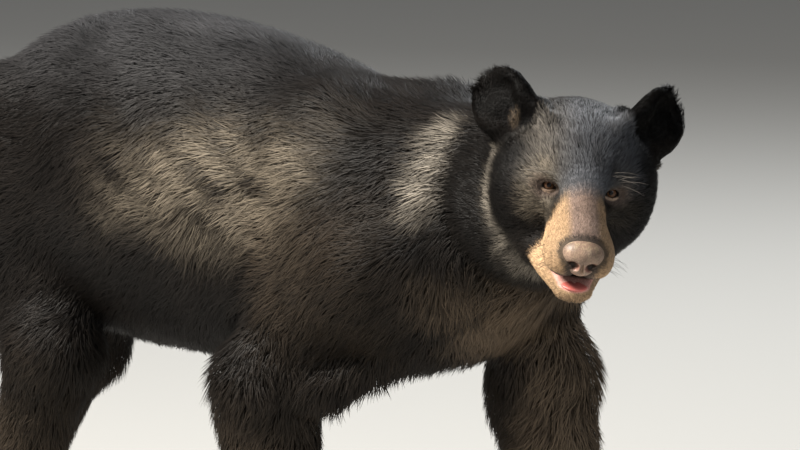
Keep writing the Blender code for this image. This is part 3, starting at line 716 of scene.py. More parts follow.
def body_colour_and_light(points):
    """The body's colour: black, with tan, slate and pale painted sheen on flank, rump and neck."""
    x, y, z = points.T
    y = np.abs(y)
    left = ramp(points[:, 1], 0, 0.05)
    # Painted sheen: tan streaks on the flank, weaker on the bear's left
    flank = ramp(z, 0.52, 0.65) * fade(z, 0.65, 0.76) * ramp(x, -0.16, 0.14) * fade(x, 0.25, 0.38)
    streaks = (0.78 + 0.34 * ripple(points * (0.5, 1, 1), 0.11, 11)
               + 0.34 * ripple(points * (0.3, 1, 1), 0.03, 12))
    flank = flank * (1 - 0.5 * left)
    colour = tint(np.tile(BLACK, (len(points), 1)), TAN * 1.12, flank * streaks)
    # Painted sheen: the top of the rump blue-grey
    rump = ramp(z, 0.70, 0.84) * fade(x, 0.05, 0.30)
    colour = tint(colour, SLATE_SHEEN, rump * 0.36)
    arm = ramp(x, 0.16, 0.26) * fade(x, 0.38, 0.48) * ramp(z, 0.36, 0.50) * fade(z, 0.58, 0.70)
    colour = tint(colour, BROWN, arm * 0.5)
    colour = tint(colour, BROWN, fade(z, 0.22, 0.44) * 0.75)
    # Painted light: the breast in the coat's brown, made lighter as if lit
    breast_light = ramp(x, 0.43, 0.52) * fade(z, 0.50, 0.58)
    colour = tint(colour, BROWN * 2.8, breast_light * 0.9)
    # Painted sheen: a pale streaked band on the neck, weaker on the bear's left
    neck_sheen = stripe(x, 0.484, 0.027) * ramp(z, 0.600, 0.650) * ramp(y, 0.03, 0.09)
    neck_sheen = neck_sheen * (1 - 0.6 * left)
    streaks = 0.80 + 0.40 * ripple(points * (0.6, 1, 1), 0.04, 13)
    colour = tint(colour, PALE_SHEEN * 1.2, neck_sheen * streaks)
    # Painted shade: the coat darkened in a fold round the neck and in a crease on each side of the
    # chest
    hollow = x - 0.545 + 4.7 * np.maximum(0.70 - z, 0) ** 2
    fold = stripe(hollow, 0, 0.020) * ramp(z, 0.55, 0.60)
    crease = stripe(z - 0.457 - 0.48 * (x - 0.439), 0, 0.011)
    crease = crease * ramp(x, 0.40, 0.45) * fade(x, 0.53, 0.58)
    return tint(colour, BLACK * 0.5, np.maximum(fold, crease * ramp(y, 0.05, 0.09)) * 0.85)


def face_colour_and_light(own):
    """The head's colour, with painted sheen, highlight and shade, from the head's own coordinates.
    """
    paired = both_sides(own)
    x, y, z = paired.T
    eye = np.array(EYE)
    colour = np.tile(BLACK, (len(own), 1))
    # Painted sheen: the forehead blue-grey, turned tan as painted light on the bear's right
    brow_sheen = ramp(z, -0.020, 0.020) * fade(x, 0.052, 0.074) * fade(y, 0.060, 0.100)
    brow_sheen = brow_sheen * ramp(x, -0.14, -0.06)
    slate = tint(SLATE_SHEEN, TAN * 0.75, ramp(-own[:, 1], 0.0, 0.06) * 0.7)
    colour = tint(colour, slate, brow_sheen * (0.95 + 0.25 * ripple(own, 0.03, 14)))
    # Painted sheen: a light blue-grey patch on the bridge between the eyes
    between = lengths((paired - (0.050, 0, 0.024)) / (0.030, 0.030, 0.036))
    colour = tint(colour, SLATE_SHEEN * 2.0, fade(between, 0.5, 1.3) * 0.8)
    # Painted shade: the sides of the head behind the eyes darker than the coat's black
    temple_shade = ramp(y, 0.055, 0.080) * fade(x, -0.022, -0.002) * fade(z, 0.020, 0.060)
    colour = tint(colour, BLACK * 0.45, temple_shade)
    cheek = ramp(x, -0.010, 0.008) * fade(x, 0.030, 0.046) * fade(-z, 0.030, 0.065)
    cheek = cheek * ramp(y, 0.030, 0.045) * fade(z, 0.020, 0.060)
    # The tan below the eyes is the coat's own; on the bear's left it is darkened as painted shade
    cheek = cheek * (1 - 0.7 * ramp(own[:, 1], 0, 0.02))
    colour = tint(colour, TAN, cheek * (0.85 + 0.25 * ripple(own, 0.025, 15)))
    # Painted highlight: a pale line along the outer edge of the face, as lit fur
    edge = -0.070 + 0.032 * ramp(-z, 0.040, 0.115)
    edge_highlight = stripe(x, edge, 0.0110) * ramp(np.hypot(y, z + 0.015), 0.080, 0.095)
    edge_highlight = edge_highlight * fade(z, 0.035, 0.060) * (1 - ear_share(own))
    colour = tint(colour, PALE_SHEEN * 1.3, edge_highlight * (0.50 + 0.2 * ripple(own, 0.02, 17)))

    side = np.maximum(ramp(y, 0.013, 0.026), ramp(-z, 0.096, 0.106))
    start = 0.046 - 0.034 * ramp(-z, 0.015, 0.078)
    drop = 0.38 * x - z
    reach = 0.030 + 0.32 * (drop - 0.0225) + 0.45 * np.maximum(drop - 0.054, 0)
    muzzle = ramp(x - start, -0.010, 0.012) * ramp(z, -0.130, -0.112)
    muzzle = muzzle * fade(y - reach, -0.005, 0.007)
    colour = tint(colour, tint(MUZZLE_TOP, MUZZLE_SIDE, side), muzzle)
    gap = lengths(paired - eye)
    colour = tint(colour, TAUPE, fade(gap, 0.018, 0.028) * (1 - muzzle))
    inner = lengths((paired - eye - (0.004, -0.012, 0.008)) / (0.010, 0.006, 0.010))
    colour = tint(colour, LID_PALE * 0.6, fade(inner, 0.6, 1.3) * 0.7)
    colour = tint(colour, BLACK * 0.8, fade(gap, 0.0128, 0.0146))
    lower_lid = ramp(gap, 0.0112, 0.0118) * fade(gap, 0.0136, 0.0146) * ramp(-z, 0.0015, 0.0045)
    colour = tint(colour, LID_PALE, lower_lid * 0.85)
    # Painted shade: the ears darker than the coat's black
    colour = tint(colour, BLACK * 0.25, ear_share(own) * ramp(z, 0.045, 0.062))
    lock = lengths((own - (-0.062, -0.095, 0.064)) / (0.018, 0.009, 0.018))
    lock = fade(lock, 0.4, 1.1) * (0.6 + 0.4 * ripple(own, 0.006, 16))
    colour = tint(colour, BROWN * 2, lock)

    pad = nose_field(head_to_bear_all(own))
    colour = tint(colour, LIP_DARK, fade(pad, 0.0020, 0.0050) * 0.85)
    gap = bone(own, *MOUTH)
    front = ramp(x, 0.050, 0.080)
    upper = ramp(z, LIPS - 0.002, LIPS)
    colour = tint(colour, LIP_DARK, fade(z - LIPS, 0.014, 0.020) * front * upper)
    colour = tint(colour, LIP_PINK, fade(gap, 0.0045, 0.0070) * front * (1 - upper))
    # Painted shade deep inside the parted lips
    return tint(colour, MOUTH_SHADE, fade(gap, -0.003, 0.0) * fade(x, 0.085, 0.115))


def coat_colour_and_light(points):
    """The coat's colour, with its painted light and shade, at places on the bear."""
    own = bear_to_head(points)
    return tint(body_colour_and_light(points), face_colour_and_light(own), head_share(own))


# ---------------------------------------------------------------- coat

def lie(points, slope):
    """The way the hair lies, along the surface."""
    x, _, z = points.T
    own = bear_to_head(points)
    from_nose = unit(own - (0.150, 0, -0.055)) + (-0.55, 0, -0.10)
    ear_way = columns(np.full(len(own), -0.2), 0.35 * np.sign(own[:, 1]), np.ones(len(own)))
    head_way = mix(from_nose, ear_way, ear_share(own)[:, None]) @ np.array(HEAD_TURN).T

    throat = ramp(x, 0.30, 0.50) * fade(z, 0.50, 0.70)
    rump = ramp(-x, 0.42, 0.62)
    fall = np.maximum(np.maximum(fade(z, 0.36, 0.56), rump * 0.9), throat * 0.7)
    side = np.clip(np.abs(slope[:, 1]), 0, 1)
    back_way = columns(-np.ones(len(points)), 0 * fall, -0.30 - 0.45 * side)
    way = mix(back_way, np.array((-0.28, 0, -1.0)), fall[:, None])
    way = mix(way, head_way, head_share(own)[:, None])
    way = mix(way, np.array((0.75, 0, -0.65)), fade(z, 0.03, 0.10)[:, None])
    way -= slope * (way * slope).sum(1)[:, None]
    return way / np.maximum(lengths(way), 1e-6)[:, None]


def roots_on(points, faces, slopes, seed):
    """Places for tufts, evenly spread over faces by the coat's density, and the slopes there."""
    draw = np.random.default_rng(seed)
    a, b, c = (points[faces[:, corner]] for corner in range(3))
    area = lengths(np.cross(b - a, c - a)) / 2
    density, = traits((a + b + c) / 3, "number")
    sums = np.concatenate(((0,), np.cumsum(area * density)))
    spots = np.arange(int(sums[-1])) + draw.uniform(0, 1, int(sums[-1]))
    pick = faces[np.clip(np.searchsorted(sums, spots) - 1, 0, len(faces) - 1)]
    u, v = draw.uniform(size=(2, len(pick)))
    over = u + v > 1
    u[over], v[over] = 1 - u[over], 1 - v[over]
    weights = columns(1 - u - v, u, v)[:, :, None]
    slope = (slopes[pick] * weights).sum(1)
    return (points[pick] * weights).sum(1), unit(slope)


def turn_share(across, ahead):
    """A direction as a share of a whole turn."""
    return np.arctan2(across, ahead) / (2 * math.pi) + 0.5


def regions(points):
    """For each place, the coat piece's number and its place on an unwrap of that piece."""
    x, y, z = points.T
    own = bear_to_head(points)
    names, legs = ["loin", "chest", "neck", "head", "ears"], FORE_LEGS + HIND_LEGS
    which = np.where(x < LOIN_END, 0, np.where(x < CHEST_END, 1, 2))
    u, v = turn_share(y, 0.58 - z), (x + 0.72) / 1.5
    for number, leg in enumerate(legs, start=len(names)):
        middle, bottom = (np.array(place) for place in leg[3:])
        low = (z < LEG_TOP) & (np.sign(y) == leg[1]) & ((x > LOIN_END) == (leg in FORE_LEGS))
        share = np.clip((z - bottom[2]) / (middle[2] - bottom[2]), 0, 1)
        axis = bottom[:2] + (middle - bottom)[:2] * share[:, None]
        which = np.where(low, number, which)
        u = np.where(low, turn_share(y - axis[:, 1], x - axis[:, 0]), u)
        v = np.where(low, z / 0.45, v)
    head = head_share(own) > 0.5
    which = np.where(head, names.index("head"), which)
    u = np.where(head, turn_share(own[:, 1], own[:, 2] + 0.02), u)
    v = np.where(head, (own[:, 0] + 0.18) / 0.36, v)
    ears = head & (ear_share(own) > 0.5)
    which = np.where(ears, names.index("ears"), which)
    local = (both_sides(own) - np.array(EARS[1])) @ ear_axes(1)
    column = (own[:, 1] > 0) * 0.5 + (local[:, 0] > 0.0) * 0.25 + 0.125
    u = np.where(ears, column + local[:, 1] / EAR_RADIUS * 0.09, u)
    v = np.where(ears, local[:, 2] / EAR_RADIUS * 0.4 + 0.5, v)
    return names + [leg[0] for leg in legs], which, u, v


def build_coat(points, faces, slopes, seed):
    """All tufts of the coat, as pieces by region."""
    draw = np.random.default_rng(seed)
    roots, slope = roots_on(points, faces, slopes, seed + 1)
    own = bear_to_head(roots)
    keep = coat_grows(roots, own)
    roots, slope, own = roots[keep], slope[keep], own[keep]
    depth, length, width = traits(roots, "depth", "length", "width")
    count = len(roots)
    way = lie(roots, slope)
    side = np.cross(way, slope)
    on_head = head_share(own)
    wander = (mix(0.30, 0.10, on_head) * ripple(roots, 0.16, 21)
              + mix(0.20, 0.14, on_head) * ripple(roots, 0.05, 22))
    wander += draw.normal(0, 0.13, count)
    way = way * np.cos(wander)[:, None] + side * np.sin(wander)[:, None]
    side = np.cross(way, slope)

    size = draw.uniform(0.70, 1.20, count)
    length = length * size
    width = width * draw.uniform(0.75, 1.25, count)
    lift = np.arcsin(np.clip(depth / length * draw.uniform(0.75, 1.05, count), 0.05, 0.7))

    stray = 0.4 * CLUMP * np.stack([ripple(roots, 0.05, wave) for wave in (31, 32, 33)], 1)
    cell = np.round((roots + stray) / mix(CLUMP, CLUMP * 0.5, on_head)[:, None]).astype(int)
    _, cell = np.unique(cell, axis=0, return_inverse=True)
    cell = cell.ravel()
    number = np.bincount(cell)
    middle = np.stack([np.bincount(cell, roots[:, axis]) / number for axis in range(3)], 1)[cell]
    lean = (middle - roots) * 0.45
    lean -= slope * (lean * slope).sum(1)[:, None]

    curl = draw.normal(0, 0.10, count)
    rise = way * np.cos(lift * 1.5)[:, None] + slope * np.sin(lift * 1.5)[:, None]
    fall = way * np.cos(lift)[:, None] + slope * np.sin(lift)[:, None] + side * curl[:, None]
    waist = roots + rise * (length * 0.42)[:, None] + lean * 0.35
    tip = roots + fall * length[:, None] + lean
    foot = roots - slope * (depth * 0.25 + 0.001)[:, None]
    half = side * (width * 0.5)[:, None]
    crest = waist + slope * (width * 0.40)[:, None]
    tufts = columns(foot, waist + half, crest, waist - half, tip)
    tufts[:, :, 2] = np.maximum(tufts[:, :, 2], TIPS)

    tone = draw.uniform(0, 1, count)
    colour = coat_colour_and_light(roots)
    names, which, u, v = regions(roots)
    for number, name in enumerate(names):
        mine = np.flatnonzero(which == number)
        lots = max(1, math.ceil(len(mine) * len(TUFT_FACES) / MOST_TRIANGLES))
        for lot in range(lots):
            some = mine[lot * len(mine) // lots:(lot + 1) * len(mine) // lots]
            label = f"coat_{name}" if lots == 1 else f"coat_{name}_{lot + 1}"
            add_coat_piece(label, *(values[some] for values in (tufts, tone, colour, u, v, slope)))


def add_map(piece, faces, u, v, corners):
    """The OFBake map, where each tuft or hair is a small patch at its root's place."""
    inside = PATCH + columns(u, v).clip(0, 1) * (1 - 3 * PATCH)
    places = (inside[:, None] + (corners * PATCH)[None]).reshape(-1, 2)
    layer = piece.data.uv_layers.new(name="OFBake")
    layer.data.foreach_set("uv", places[faces.ravel()].astype(np.float32).ravel())


def add_coat_piece(name, tufts, tone, colour, u, v, slope):
    """One mesh of tufts, with their map and their shading turned towards the skin's."""
    count, per_tuft = tufts.shape[:2]
    faces = (TUFT_FACES[None] + per_tuft * np.arange(count)[:, None, None]).reshape(-1, 3)
    material = "ears" if name == "coat_ears" else "fur"
    piece = add_mesh(name, tufts.reshape(-1, 3), faces, "fur", material=material)
    paint(piece, "tone", np.repeat(tone, per_tuft))
    paint(piece, "along", np.tile(TUFT_ALONG, count))
    paint(piece, "colour_and_light", np.repeat(colour, per_tuft, axis=0))
    add_map(piece, faces, u, v, np.array(((0, 0), (0, 1), (0.5, 0.5), (1, 0), (1, 1))))
    own = np.zeros(count * per_tuft * 3, np.float32)
    piece.data.vertices.foreach_get("normal", own)
    under = np.repeat(slope, per_tuft, axis=0)
    normal = unit(own.reshape(-1, 3) * (1 - SOFT_SHADING) + under * SOFT_SHADING)
    piece.data.normals_split_custom_set_from_vertices(normal.astype(np.float32))


def ring_quads(rings, sides):
    """Four-cornered faces between rings of points."""
    ring = np.arange(rings - 1)[:, None] * sides
    near, after = np.arange(sides), (np.arange(sides) + 1) % sides
    corners = (ring + near, ring + after, ring + sides + after, ring + sides + near)
    return np.stack(corners, -1).reshape(-1, 4)


def halves(quads):
    """The two triangles of each four-cornered face."""
    return quads[:, (0, 1, 2)], quads[:, (0, 2, 3)]


def build_whiskers():
    """The single long hairs over the eyes and on the lips."""
    draw = np.random.default_rng(61)
    places, ways, reaches, shades = [], [], [], []
    for side in (1, -1):
        for low, high, way, reach, shade, count in WHISKERS:
            places.append(draw.uniform(low, high, (count, 3)) * (1, side, 1))
            ways.append((np.array(way) + draw.normal(0, 0.14, (count, 3))) * (1, side, 1))
            reaches.append(draw.uniform(*reach, count))
            shades.append(np.tile(shade, (count, 1)))
    roots = settle(skin_field, head_to_bear_all(np.concatenate(places)), 6, 0.006)
    slope = slope_of(skin_field, roots)[1]
    ways = unit(np.concatenate(ways) @ np.array(HEAD_TURN).T)
    reaches, shades = np.concatenate(reaches), np.concatenate(shades)
    count, rings, sides = len(roots), 6, 3
    across = unit(np.cross(ways, slope))
    share = np.linspace(0, 1, rings)
    path = (roots - slope * 0.001)[:, None] + ways[:, None] * (reaches[:, None] * share)[:, :, None]
    path = path + np.array((0, 0, -WHISKER_DROOP)) * (reaches[:, None] * share ** 2)[:, :, None]
    angles = np.linspace(0, 2 * math.pi, sides, endpoint=False)[:, None]
    around = across[:, None] * np.cos(angles) + np.cross(ways, across)[:, None] * np.sin(angles)
    thick = WHISKER_RADIUS * (1 - 0.8 * share)
    points = path[:, :, None] + around[:, None] * thick[:, None, None]
    last = (rings - 1) * sides
    ends = ((0, 2, 1), (last, last + 1, last + 2))
    hair = np.concatenate((*halves(ring_quads(rings, sides)), ends))
    faces = (hair + (np.arange(count) * rings * sides)[:, None, None]).reshape(-1, 3)
    piece = add_mesh("coat_whiskers", points.reshape(-1, 3), faces, "fur")
    paint(piece, "tone", np.full(count * rings * sides, 0.5))
    paint(piece, "along", np.tile(np.repeat(share, sides), count))
    paint(piece, "colour_and_light", np.repeat(shades, rings * sides, axis=0))
    _, _, u, v = regions(roots)
    corners = np.broadcast_arrays(np.arange(sides) / (sides - 1), share[:, None])
    add_map(piece, faces, u, v, np.stack(corners, -1).reshape(-1, 2))


def coat_grows(points, own):
    """False where the skin is bare: eyes, lips, nose and soles."""
    paired = both_sides(own)
    bare = lengths(paired - np.array(EYE)) < EYE_RADIUS + 0.0045
    bare |= nose_field(points) < 0.0012
    upper = 0.0090 + 0.0035 * ramp(own[:, 0], 0.08, 0.11)
    lip = np.where(own[:, 2] < LIPS, 0.0068, upper) * ramp(own[:, 0], 0.05, 0.08)
    bare |= bone(own, *MOUTH) < lip
    bare |= points[:, 2] < 0.006
    return ~bare


# ---------------------------------------------------------------- materials

def new_material(name, roughness, specular, **more):
    """A Principled material with constant sheen and gloss."""
    material = bpy.data.materials.new(name)
    material.use_nodes = True
    shader = material.node_tree.nodes["Principled BSDF"]
    shader.inputs["Roughness"].default_value = roughness
    shader.inputs["Specular IOR Level"].default_value = specular
    for key, value in more.items():
        shader.inputs[key.replace("_", " ")].default_value = value
    return material, material.node_tree, shader


def node(tree, kind, *links, **settings):
    """A node with its settings and its (input, value or output) pairs."""
    item = tree.nodes.new("ShaderNode" + kind)
    for key, value in settings.items():
        setattr(item, key, value)
    for key, value in links:
        if isinstance(value, bpy.types.NodeSocket):
            tree.links.new(value, item.inputs[key])
        else:
            item.inputs[key].default_value = value
    return item


def attribute(tree, name, output="Fac"):
    """The output of a named attribute."""
    return node(tree, "Attribute", attribute_name=name).outputs[output]


def noise(tree, scale):
    """Noise of a scale per metre over the object."""
    place = node(tree, "TexCoord").outputs["Object"]
    return node(tree, "TexNoise", ("Vector", place), ("Scale", scale),
                ("Detail", 3.0)).outputs["Fac"]


def scaled(tree, value, low, high, start=0.0, end=1.0):
    """A value's range from start to end made low to high."""
    return node(tree, "MapRange", ("Value", value), ("From Min", start), ("From Max", end),
                ("To Min", low), ("To Max", high)).outputs["Result"]


def grain(tree, scale, low, high):
    """Noise of a scale per metre, its middle range made low to high."""
    return scaled(tree, noise(tree, scale), low, high, *MIDDLE)


def times(tree, first, second):
    """Product of two numbers."""
    return node(tree, "Math", (0, first), (1, second), operation="MULTIPLY").outputs[0]


def tinted(tree, colour, strength):
    """A colour made lighter or darker by a number."""
    return node(tree, "VectorMath", (0, colour), ("Scale", strength), operation="SCALE").outputs[0]


def marked(tree, shader, strength):
    """The painted colour and light, made lighter or darker, as the shader's colour."""
    colour = tinted(tree, attribute(tree, "colour_and_light", "Color"), strength)
    tree.links.new(colour, shader.inputs["Base Color"])


def bumped(tree, shader, height, strength, distance, **settings):
    """A bump on the shader's surface, from a height."""
    bump = node(tree, "Bump", ("Height", height), ("Strength", strength), ("Distance", distance),
                **settings)
    tree.links.new(bump.outputs[0], shader.inputs["Normal"])


def fur_material(name, gloss):
    """Hair: dark at the root, lighter towards the tip, each tuft its own shade."""
    material, tree, shader = new_material(name, 0.50, gloss)
    strength = times(tree, scaled(tree, attribute(tree, "along"), 0.55, 1.35),
                     scaled(tree, attribute(tree, "tone"), 0.55, 1.55))
    marked(tree, shader, times(tree, strength, grain(tree, 9.0, 0.65, 1.35)))
    return material


def skin_material():
    """Skin under the coat, with short flat hair where the tufts are smallest."""
    material, tree, shader = new_material("skin", 0.60, 0.08)
    hair = noise(tree, 900.0)
    marked(tree, shader, scaled(tree, hair, 0.5, 1.2, *MIDDLE))
    bumped(tree, shader, hair, 0.5, 0.001)
    return material


def leather_material():
    """The nose: fine cobbles of damp leather."""
    material, tree, shader = new_material("nose_leather", 0.45, 0.3,
                                          Coat_Weight=0.10, Coat_Roughness=0.30)
    place = node(tree, "TexCoord").outputs["Object"]
    cobble = node(tree, "TexVoronoi", ("Vector", place), ("Scale", 650.0)).outputs["Distance"]
    pits = scaled(tree, cobble, 1.25, 0.7, 0.0, 0.7)
    marked(tree, shader, times(tree, pits, grain(tree, 60.0, 0.7, 1.4)))
    bumped(tree, shader, cobble, 0.45, 0.0006, invert=True)
    return material


def flesh_material():
    """The tongue: moist, finely pimpled flesh."""
    material, tree, shader = new_material("tongue_flesh", 0.36, 0.4,
                                          Coat_Weight=0.15, Coat_Roughness=0.20)
    pimples = noise(tree, 700.0)
    marked(tree, shader, scaled(tree, pimples, 0.8, 1.2, *MIDDLE))
    bumped(tree, shader, pimples, 0.4, 0.0006)
    return material


def claw_material():
    """Claws: dark horn with streaks along them, a little lighter at the tip."""
    material, tree, shader = new_material("claw_horn", 0.42, 0.18)
    tip = scaled(tree, attribute(tree, "along"), 0.7, 1.8)
    strength = times(tree, tip, grain(tree, 350.0, 0.6, 1.4))
    tree.links.new(tinted(tree, HORN, strength), shader.inputs["Base Color"])
    bumped(tree, shader, noise(tree, 500.0), 0.2, 0.0005)
    return material


def eye_material():
    """The eyeball: pupil, brown iris with rays, dark rim and brownish white."""
    material, tree, shader = new_material("eye_glass", 0.20, 0.12,
                                          Coat_Weight=0.12, Coat_Roughness=0.03)
    ring = node(tree, "ValToRGB", ("Fac", attribute(tree, "polar")))
    stops = ring.color_ramp.elements
    for stop, (place, colour) in zip(stops, (EYE_RINGS[0], EYE_RINGS[-1])):
        stop.position, stop.color = place, (*colour, 1)
    for place, colour in EYE_RINGS[1:-1]:
        stops.new(place).color = (*colour, 1)
    rays = grain(tree, 1400.0, 0.6, 1.5)
    tree.links.new(tinted(tree, ring.outputs["Color"], rays), shader.inputs["Base Color"])
    return material


# ---------------------------------------------------------------- pieces

def refined(points, faces):
    """The head's mesh in triangles, twice as fine round the eyes and the mouth."""
    mesh = bmesh.new()
    corners = [mesh.verts.new(point) for point in points]
    for face in faces:
        mesh.faces.new([corners[index] for index in face])
    mesh.verts.index_update()
    own = bear_to_head(points)
    fine = (eye_share(own) > 0.02) | ((own[:, 0] > 0.085) & (own[:, 2] < -0.03))
    edges = [edge for edge in mesh.edges if fine[edge.verts[0].index] and fine[edge.verts[1].index]]
    bmesh.ops.subdivide_edges(mesh, edges=edges, cuts=1, use_grid_fill=True)
    bmesh.ops.triangulate(mesh, faces=mesh.faces)
    mesh.verts.index_update()
    points = np.array([vertex.co[:] for vertex in mesh.verts])
    faces = np.array([[vertex.index for vertex in face.verts] for face in mesh.faces])
    mesh.free()
    return points, faces


def build_skin():
    """The whole skin: the body's and, finer, the head's."""
    def body_only(points):
        return np.maximum(skin_field(points), bear_to_head(points)[:, 0] - BODY_END)

    def head_only(points):
        return np.maximum(skin_field(points), HEAD_START - bear_to_head(points)[:, 0])

    low, high = (-0.76, -0.30, -0.02), (0.72, 0.32, 0.92)
    body_points, body_faces = surface(body_only, low, high, BODY_STEP)
    body_points = settle(body_only, body_points, 1)
    centre = np.array(head_to_bear((-0.01, 0, -0.005)))
    head_points, head_faces = surface(head_only, centre - 0.21, centre + 0.21, HEAD_STEP)
    head_points, head_faces = refined(head_points, head_faces)
    head_points = settle(head_only, head_points, 2, 0.001)
    body_points[:, 2] = np.maximum(body_points[:, 2], SOLES)
    points = np.concatenate((body_points, head_points))
    body_faces = np.concatenate(halves(body_faces), axis=1).reshape(-1, 3)
    faces = np.concatenate((body_faces, head_faces + len(body_points)))
    return points, faces, slope_of(skin_field, points)[1]


def build_ball(name, replaced, side):
    """An eyeball with a slightly bulging cornea."""
    rings, sides = 24, 40
    axes = gaze_axes(LOOK * Vector((1, side, 1)))
    axes[1] *= side
    polar = np.linspace(0, math.pi, rings + 1)[1:-1]
    turn = np.linspace(0, 2 * math.pi, sides, endpoint=False)
    polar, turn = np.meshgrid(polar, turn, indexing="ij")
    polar = np.concatenate(((0.0,), polar.ravel(), (math.pi,)))
    turn = np.concatenate(((0.0,), turn.ravel(), (0.0,)))
    radius = EYE_RADIUS + 0.0007 * fade(polar, 0.35, 0.85)
    local = columns(np.cos(polar), np.sin(polar) * np.cos(turn), np.sin(polar) * np.sin(turn))
    own = np.array((EYE.x, side * EYE.y, EYE.z)) + (local * radius[:, None]) @ axes.T
    points = head_to_bear_all(own)
    last = len(points) - 1
    faces = []
    for corner in range(sides):
        after = (corner + 1) % sides
        faces.append((0, 1 + corner, 1 + after, 1 + after))
        for ring in range(rings - 2):
            near, far = 1 + ring * sides, 1 + (ring + 1) * sides
            faces.append((near + corner, far + corner, far + after, near + after))
        near = 1 + (rings - 2) * sides
        faces.append((near + corner, last, last, near + after))
    triangles = []
    for a, b, c, d in faces:
        triangles += [t for t in ((a, b, c), (a, c, d)) if len(set(t)) == 3]
    triangles = np.array(triangles)
    if side < 0:
        triangles = triangles[:, ::-1]
    piece = add_mesh(name, points, triangles, "eye_glass", (replaced,))
    paint(piece, "polar", polar / math.pi * 2)


def build_nose():
    """The nose leather."""
    centre = np.array(head_to_bear(NOSE_TIP + Vector((-0.018, 0, -0.005))))
    points, faces = surface(nose_field, centre - 0.042, centre + 0.042, NOSE_STEP)
    points = settle(nose_field, points, 2, 0.0005)
    piece = add_mesh("nose_leather", points, faces, "nose_leather", ("nose",))
    own = bear_to_head(points)
    paired = both_sides(own)
    tip = np.array(NOSE_TIP)
    nostril = oval(paired, tip + NOSTRIL[0], NOSTRIL[1])
    # Painted shade: the nostrils' insides, nearly black where they are deep
    inside = fade(nostril, -0.0004, 0.0014)
    deep = fade(own[:, 0], tip[0] - 0.010, tip[0] - 0.003)
    mottle = ramp(ripple(points, 0.012, 51) + 0.8 * ripple(points, 0.005, 52), -0.4, 1.2)
    mottle = mottle * ramp(own[:, 2], tip[2] - 0.004, tip[2] + 0.012)
    colour = tint(np.tile(LEATHER, (len(points), 1)), LEATHER_PALE, mottle * 0.8)
    paint(piece, "colour_and_light", tint(colour, tint(NOSTRIL_RIM, BLACK * 0.3, deep), inside))


def build_tongue():
    """The tongue between the parted lips."""
    centre, sizes = np.array(TONGUE)

    def tongue_field(points):
        own = bear_to_head(points)
        body = oval(own, centre, sizes)
        groove = oval(own, centre + (0.006, 0, sizes[2]), (0.030, 0.0018, 0.0014))
        return carve(body, groove, 0.002)

    middle = np.array(head_to_bear(centre))
    points, faces = surface(tongue_field, middle - 0.030, middle + 0.030, TONGUE_STEP)
    piece = add_mesh("tongue_flesh", points, faces, "tongue_flesh", ("tongue",))
    paint(piece, "colour_and_light", np.tile(TONGUE_RED, (len(points), 1)))


def build_claws(leg):
    """The five curved claws of one paw."""
    name, side, _, _, wrist = leg
    length, _, claw_length, claw_height = PAWS[name[:4]]
    ahead, left = (Vector(way) for way in paw_axes(side))
    up = Vector((0, 0, 1))
    rings, sides = 12, 14
    points, along, ends = [], [], []
    for toe in toe_places(wrist, side, length):
        place = Vector(toe) - ahead * 0.004 + up * 0.006
        for ring, turn in ((0, -1), (rings, 1)):
            near = len(points) + ring * sides
            ends += [(near, near + corner, near + corner + 1)[::turn]
                     for corner in range(1, sides - 1)]
        for ring in range(rings + 1):
            share = ring / rings
            slope = math.radians(CLAW_RISE - CLAW_BEND * share)
            way = ahead * math.cos(slope) + up * math.sin(slope)
            rear = way * (0 if ring else CLAW_ROOT)
            above = way.cross(left)
            size = claw_height * (1 - share) ** 0.75 + 0.0003
            if ring:
                place = place + way * claw_length / rings
            for corner in range(sides):
                angle = 2 * math.pi * corner / sides
                points.append(place - rear + left * math.cos(angle) * size * CLAW_WIDTH
                              + above * math.sin(angle) * size)
                along.append(share)
    starts = np.arange(TOES)[:, None, None] * (rings + 1) * sides
    quads = (ring_quads(rings + 1, sides) + starts).reshape(-1, 4)
    names = [f"{name}_claw_{number}" for number in range(1, TOES + 1)]
    triangles = np.concatenate((*halves(quads), ends))
    piece = add_mesh(f"claws_{name}", np.array(points), triangles, "claw_horn", names)
    paint(piece, "along", np.array(along))


# ---------------------------------------------------------------- studio

def area_light(name, place, aim, size, watts, colour):
    """A soft square lamp."""
    lamp = bpy.data.lights.new(name, "AREA")
    lamp.shape, lamp.size, lamp.energy, lamp.color = "SQUARE", size, watts, colour
    item = bpy.data.objects.new(name, lamp)
    item.location = place
    item.rotation_euler = (Vector(aim) - Vector(place)).to_track_quat("-Z", "Y").to_euler()
    bpy.context.scene.collection.objects.link(item)


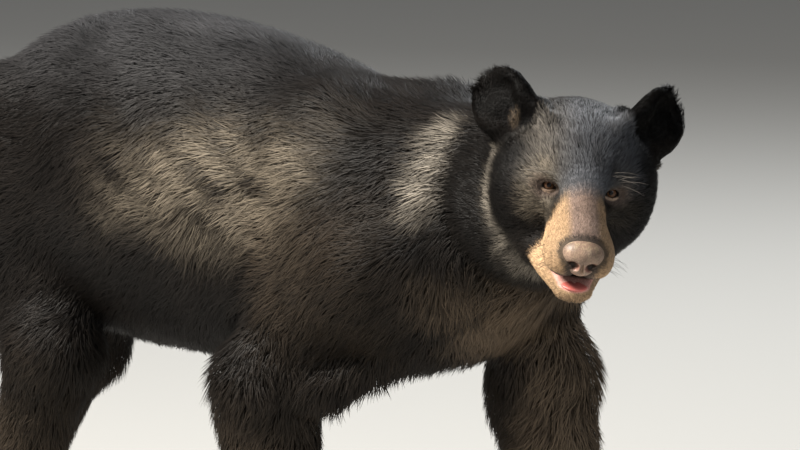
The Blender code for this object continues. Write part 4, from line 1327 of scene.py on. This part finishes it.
def build_studio():
    """Floor, lamps, pale surroundings and the camera."""
    bpy.ops.mesh.primitive_plane_add(size=60)
    floor = bpy.context.object
    floor.name = "floor"
    material, _, shader = new_material("floor", 0.7, 0.3)
    shader.inputs["Base Color"].default_value = (0.42, 0.415, 0.40, 1)
    floor.data.materials.append(material)

    middle = Vector((0.1, 0, 0.5))
    area_light("key", (-1.2, -4.6, 4.7), middle, 1.4, 1200, (1.0, 0.95, 0.87))
    area_light("fill", (5.8, -1.5, 2.4), middle, 3.0, 75, (0.90, 0.95, 1.0))
    area_light("rim", (-2.0, 4.5, 4.6), middle, 2.5, 260, (0.95, 0.98, 1.0))
    world = bpy.data.worlds.new("studio")
    world.use_nodes = True
    world.node_tree.nodes["Background"].inputs["Color"].default_value = (0.86, 0.89, 0.92, 1)
    world.node_tree.nodes["Background"].inputs["Strength"].default_value = 0.20
    bpy.context.scene.world = world
    bpy.context.scene.view_settings.view_transform = "Standard"

    camera = bpy.data.cameras.new("camera")
    camera.sensor_width, camera.lens = 36.0, 36.0 * VIEW_DISTANCE / VIEW_WIDTH
    camera.clip_end = 100
    item = bpy.data.objects.new("camera", camera)
    item.location = VIEW_AIM + Vector(SHIFT) - VIEW_WAY * VIEW_DISTANCE
    item.rotation_euler = VIEW_WAY.to_track_quat("-Z", "Y").to_euler()
    bpy.context.scene.collection.objects.link(item)
    bpy.context.scene.camera = item


# The bear is moved so that its left eye lies on the solid one
low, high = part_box("eye_left")
SHIFT = np.array((low + high) / 2 - head_to_bear(EYE))
MATERIALS = {
    "fur": fur_material("fur", 0.12),
    "ears": fur_material("fur_ears", 0.04),
    "skin": skin_material(),
    "nose_leather": leather_material(),
    "tongue_flesh": flesh_material(),
    "claw_horn": claw_material(),
    "eye_glass": eye_material(),
}
skin_points, skin_faces, skin_slopes = build_skin()
skin = add_mesh("skin", skin_points, skin_faces, "fur", FLESH, "skin")
paint(skin, "colour_and_light", coat_colour_and_light(skin_points) * SKIN_SHADE)
build_coat(skin_points, skin_faces, skin_slopes, 7)
build_whiskers()
for side, word in ((1, "left"), (-1, "right")):
    build_ball("eyeball_" + word, "eye_" + word, side)
build_nose()
build_tongue()
for leg in FORE_LEGS + HIND_LEGS:
    build_claws(leg)
build_studio()
